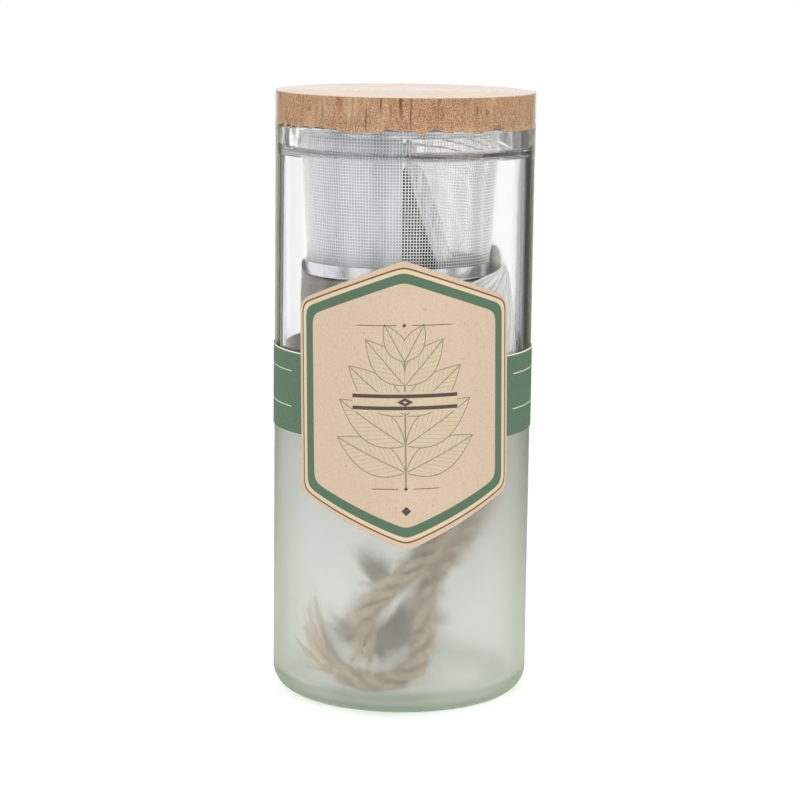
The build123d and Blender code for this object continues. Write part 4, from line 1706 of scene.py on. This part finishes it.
def carbon_form(point, inset, top, roughness):
    """Turn a unit sphere into the bag, or into its filling where the top is lower."""
    rise = 1 - math.acos(between(-1.0, point.z, 1.0)) / math.pi
    angle = math.atan2(point.y, point.x)
    share = rise * (top - carbon_low) / (carbon_high - carbon_low)
    foot = min(1.0, rise / 0.12) ** 0.45
    head = min(1.0, (1 - rise) / 0.035) ** 0.5
    girth = (1 - share) * 0.86 + 0.16
    neck = 1 - 0.45 * math.exp(-((share - 0.86) / 0.05) ** 2)
    crumple = noise.noise(Vector((math.cos(angle) * 2, math.sin(angle) * 2, share * 6)))
    pleat = 1 + 0.16 * share * math.sin(11 * angle + 3 * share) + 0.07 * crumple
    reach = foot * head * girth * neck * pleat + roughness * noise.noise(point * 9)
    x = carbon_foot.x + carbon_lean.x * share + (carbon_half[0] - inset) * reach * math.cos(angle)
    y = carbon_foot.y + carbon_lean.y * share + (carbon_half[1] - inset) * reach * math.sin(angle)
    return Vector((x, y, carbon_low + inset + rise * (top - carbon_low - 2 * inset)))


carbon_film = add_sphere("carbon_film", 132, 110, lambda co: carbon_form(co, 0.1, carbon_high, 0.0))
carbon_top = carbon_low + carbon_fill
carbon_grains = add_sphere("carbon_grains", 110, 70, lambda co: carbon_form(co, 0.7, carbon_top, 0.05))

bag = Finish("carbon film")
bag_place = bag.point()
bag_x, _, bag_z = bag.split(bag_place)
bag_streaks = bag.stretched(bag_place, (1.0, 1.0, 0.12), 0.7, 3.0, 0.6)
flap_slant = (flap_head[0] - flap_foot[0]) / (flap_head[1] - flap_foot[1])
beyond_fold = bag_x - (bag_z - flap_foot[1]) * flap_slant - flap_foot[0]
# The flap and the loop are nearly opaque, pale and streaked: painted sheen of the film
flap = beyond_fold.step(-0.4, 0.5) * bag_z.step(149.0, 153.5) + bag_z.step(185.5, 187.0)
bag_alpha = flap * (0.72 + bag_streaks * 0.3) + bag.facing(0.3).step(0.45, 1.0, 0.0, 0.4)
bag_colour = bag.mix(bag_streaks.step(0.3, 0.7), (196, 198, 212), (236, 237, 242))
bag_material = bag.paint(
    bag_colour, 0.22 + bag_streaks * 0.1, bag_streaks * 0.5, 0.8, Alpha=bag_alpha.smaller(0.96),
)
carbon_material = grain_finish("carbon grains", (12, 12, 13), (42, 42, 44), 1.0, 0.35)
finish_piece(carbon_film, "carbon_film", bag_material, "carbon", "clear_film", "carbon_bag")
finish_piece(carbon_grains, "carbon_grains", carbon_material, "carbon", "carbon", "carbon_granules")
print("carbon bag faces", len(carbon_film.data.polygons))

# %% [markdown]
# The seeds come in a small kraft envelope behind the sachets, with a folded flap. It is the same kind of
# wrapped cube, laid flat.

# %% Seed packet
packet_low, packet_high = low("seed_packet"), high("seed_packet")
packet_middle = (packet_low + packet_high) / 2
packet_half = (packet_high - packet_low) / 2


def packet_form(point, inset, fill=1.0):
    """A flat envelope with a slight belly and a crimped top."""
    rise = (point.z + 1) / 2
    swell = math.sin(math.pi * rise) ** 0.5 * math.sin(math.pi * (point.x + 1) / 2) ** 0.5
    half_depth = 0.25 + (packet_half.y - 0.3) * swell - inset
    bend = 0.12 * noise.noise(Vector((point.x * 1.4, rise * 2.2, 3.0)))
    x = packet_middle.x + point.x * (packet_half.x - 0.1 - inset)
    y = packet_middle.y + point.y * max(0.08, half_depth) + bend * (1 - abs(point.y) * 0.3)
    return Vector((x, y, packet_low.z + inset + rise * fill * (2 * packet_half.z - 1.8 - 2 * inset)))


packet = add_block("seed_envelope", 30, lambda co: packet_form(co, 0.0), 50)
seed_heap = add_block("seed_heap", 24, lambda co: packet_form(co, 0.45, 0.4), 50)

envelope = Finish("envelope paper")
envelope_place = envelope.point()
envelope_noise = envelope.noise(envelope_place, 1.1, 4.0, 0.65)
seam = envelope.split(envelope_place)[2].line(packet_high.z - 9, 0.18, 0.1)
envelope_colour = envelope.coats(
    (196, 170, 138), (envelope_noise.step(0.3, 0.75), (216, 194, 164)),
    (envelope.spots(envelope_place, 1.3).step(0.1, 0.04) * 0.4, (150, 118, 88)), (seam * 0.5, (140, 116, 92)),
)
envelope_material = envelope.paint(envelope_colour, 0.82, envelope_noise * 0.04 - seam * 0.08, 0.7)
seed_material = grain_finish("seed grains", (46, 32, 22), (88, 62, 42), 0.8, 0.45)
finish_piece(packet, "seed_envelope", envelope_material, "seed", "kraft_paper", "seed_packet")
finish_piece(seed_heap, "seed_heap", seed_material, "seed", "seed", "seeds")
print("seed packet faces", len(packet.data.polygons))

# %% [markdown]
# ## Tape over the lid
# A strap of clear tape holds the lid down. It runs over the cork and sticks to both sides of the glass. A
# grid is led along that path, its edges follow the round of the jar, and it gets a thin even thickness.

# %% Tape strap
tape_half_width = 12
tape_low = low("lid_tape").z
tape_top = high("lid_tape").z - 0.1
tape_radius = jar_radius + 0.22
tape_corner = 0.6


def tape_form(point):
    """Lead a flat grid up one side, over the lid and down the other: x runs along and y across."""
    aside = point.y * tape_half_width
    edge_x = math.sqrt(tape_radius ** 2 - aside ** 2)
    side_length = tape_top - tape_low
    total = 2 * side_length + 2 * edge_x
    along = (point.x + 1) / 2 * total
    ripple = 0.05 * noise.noise(Vector((along * 0.25, aside * 0.3, 1.0)))
    if along < side_length:
        x, z = -edge_x - ripple, tape_low + along
    elif along > total - side_length:
        x, z = edge_x + ripple, tape_low + total - along
    else:
        x, z = along - side_length - edge_x, tape_top + ripple
    from_corner = edge_x - abs(x) + tape_top - z
    if from_corner < tape_corner:
        x -= math.copysign((tape_corner - from_corner) * 0.4, x)
        z -= (tape_corner - from_corner) * 0.4
    return Vector((x, aside, z))


tape = add_sheet("tape_strap", 360, 24, tape_form, 0.08, 60)
tape_material = film_finish("tape film", (214, 212, 208), 0.012, 0.3, 0.0, 0.05)
finish_piece(tape, "tape_strap", tape_material, "tape", "clear_film", "lid_tape")
print("tape faces", len(tape.data.polygons))
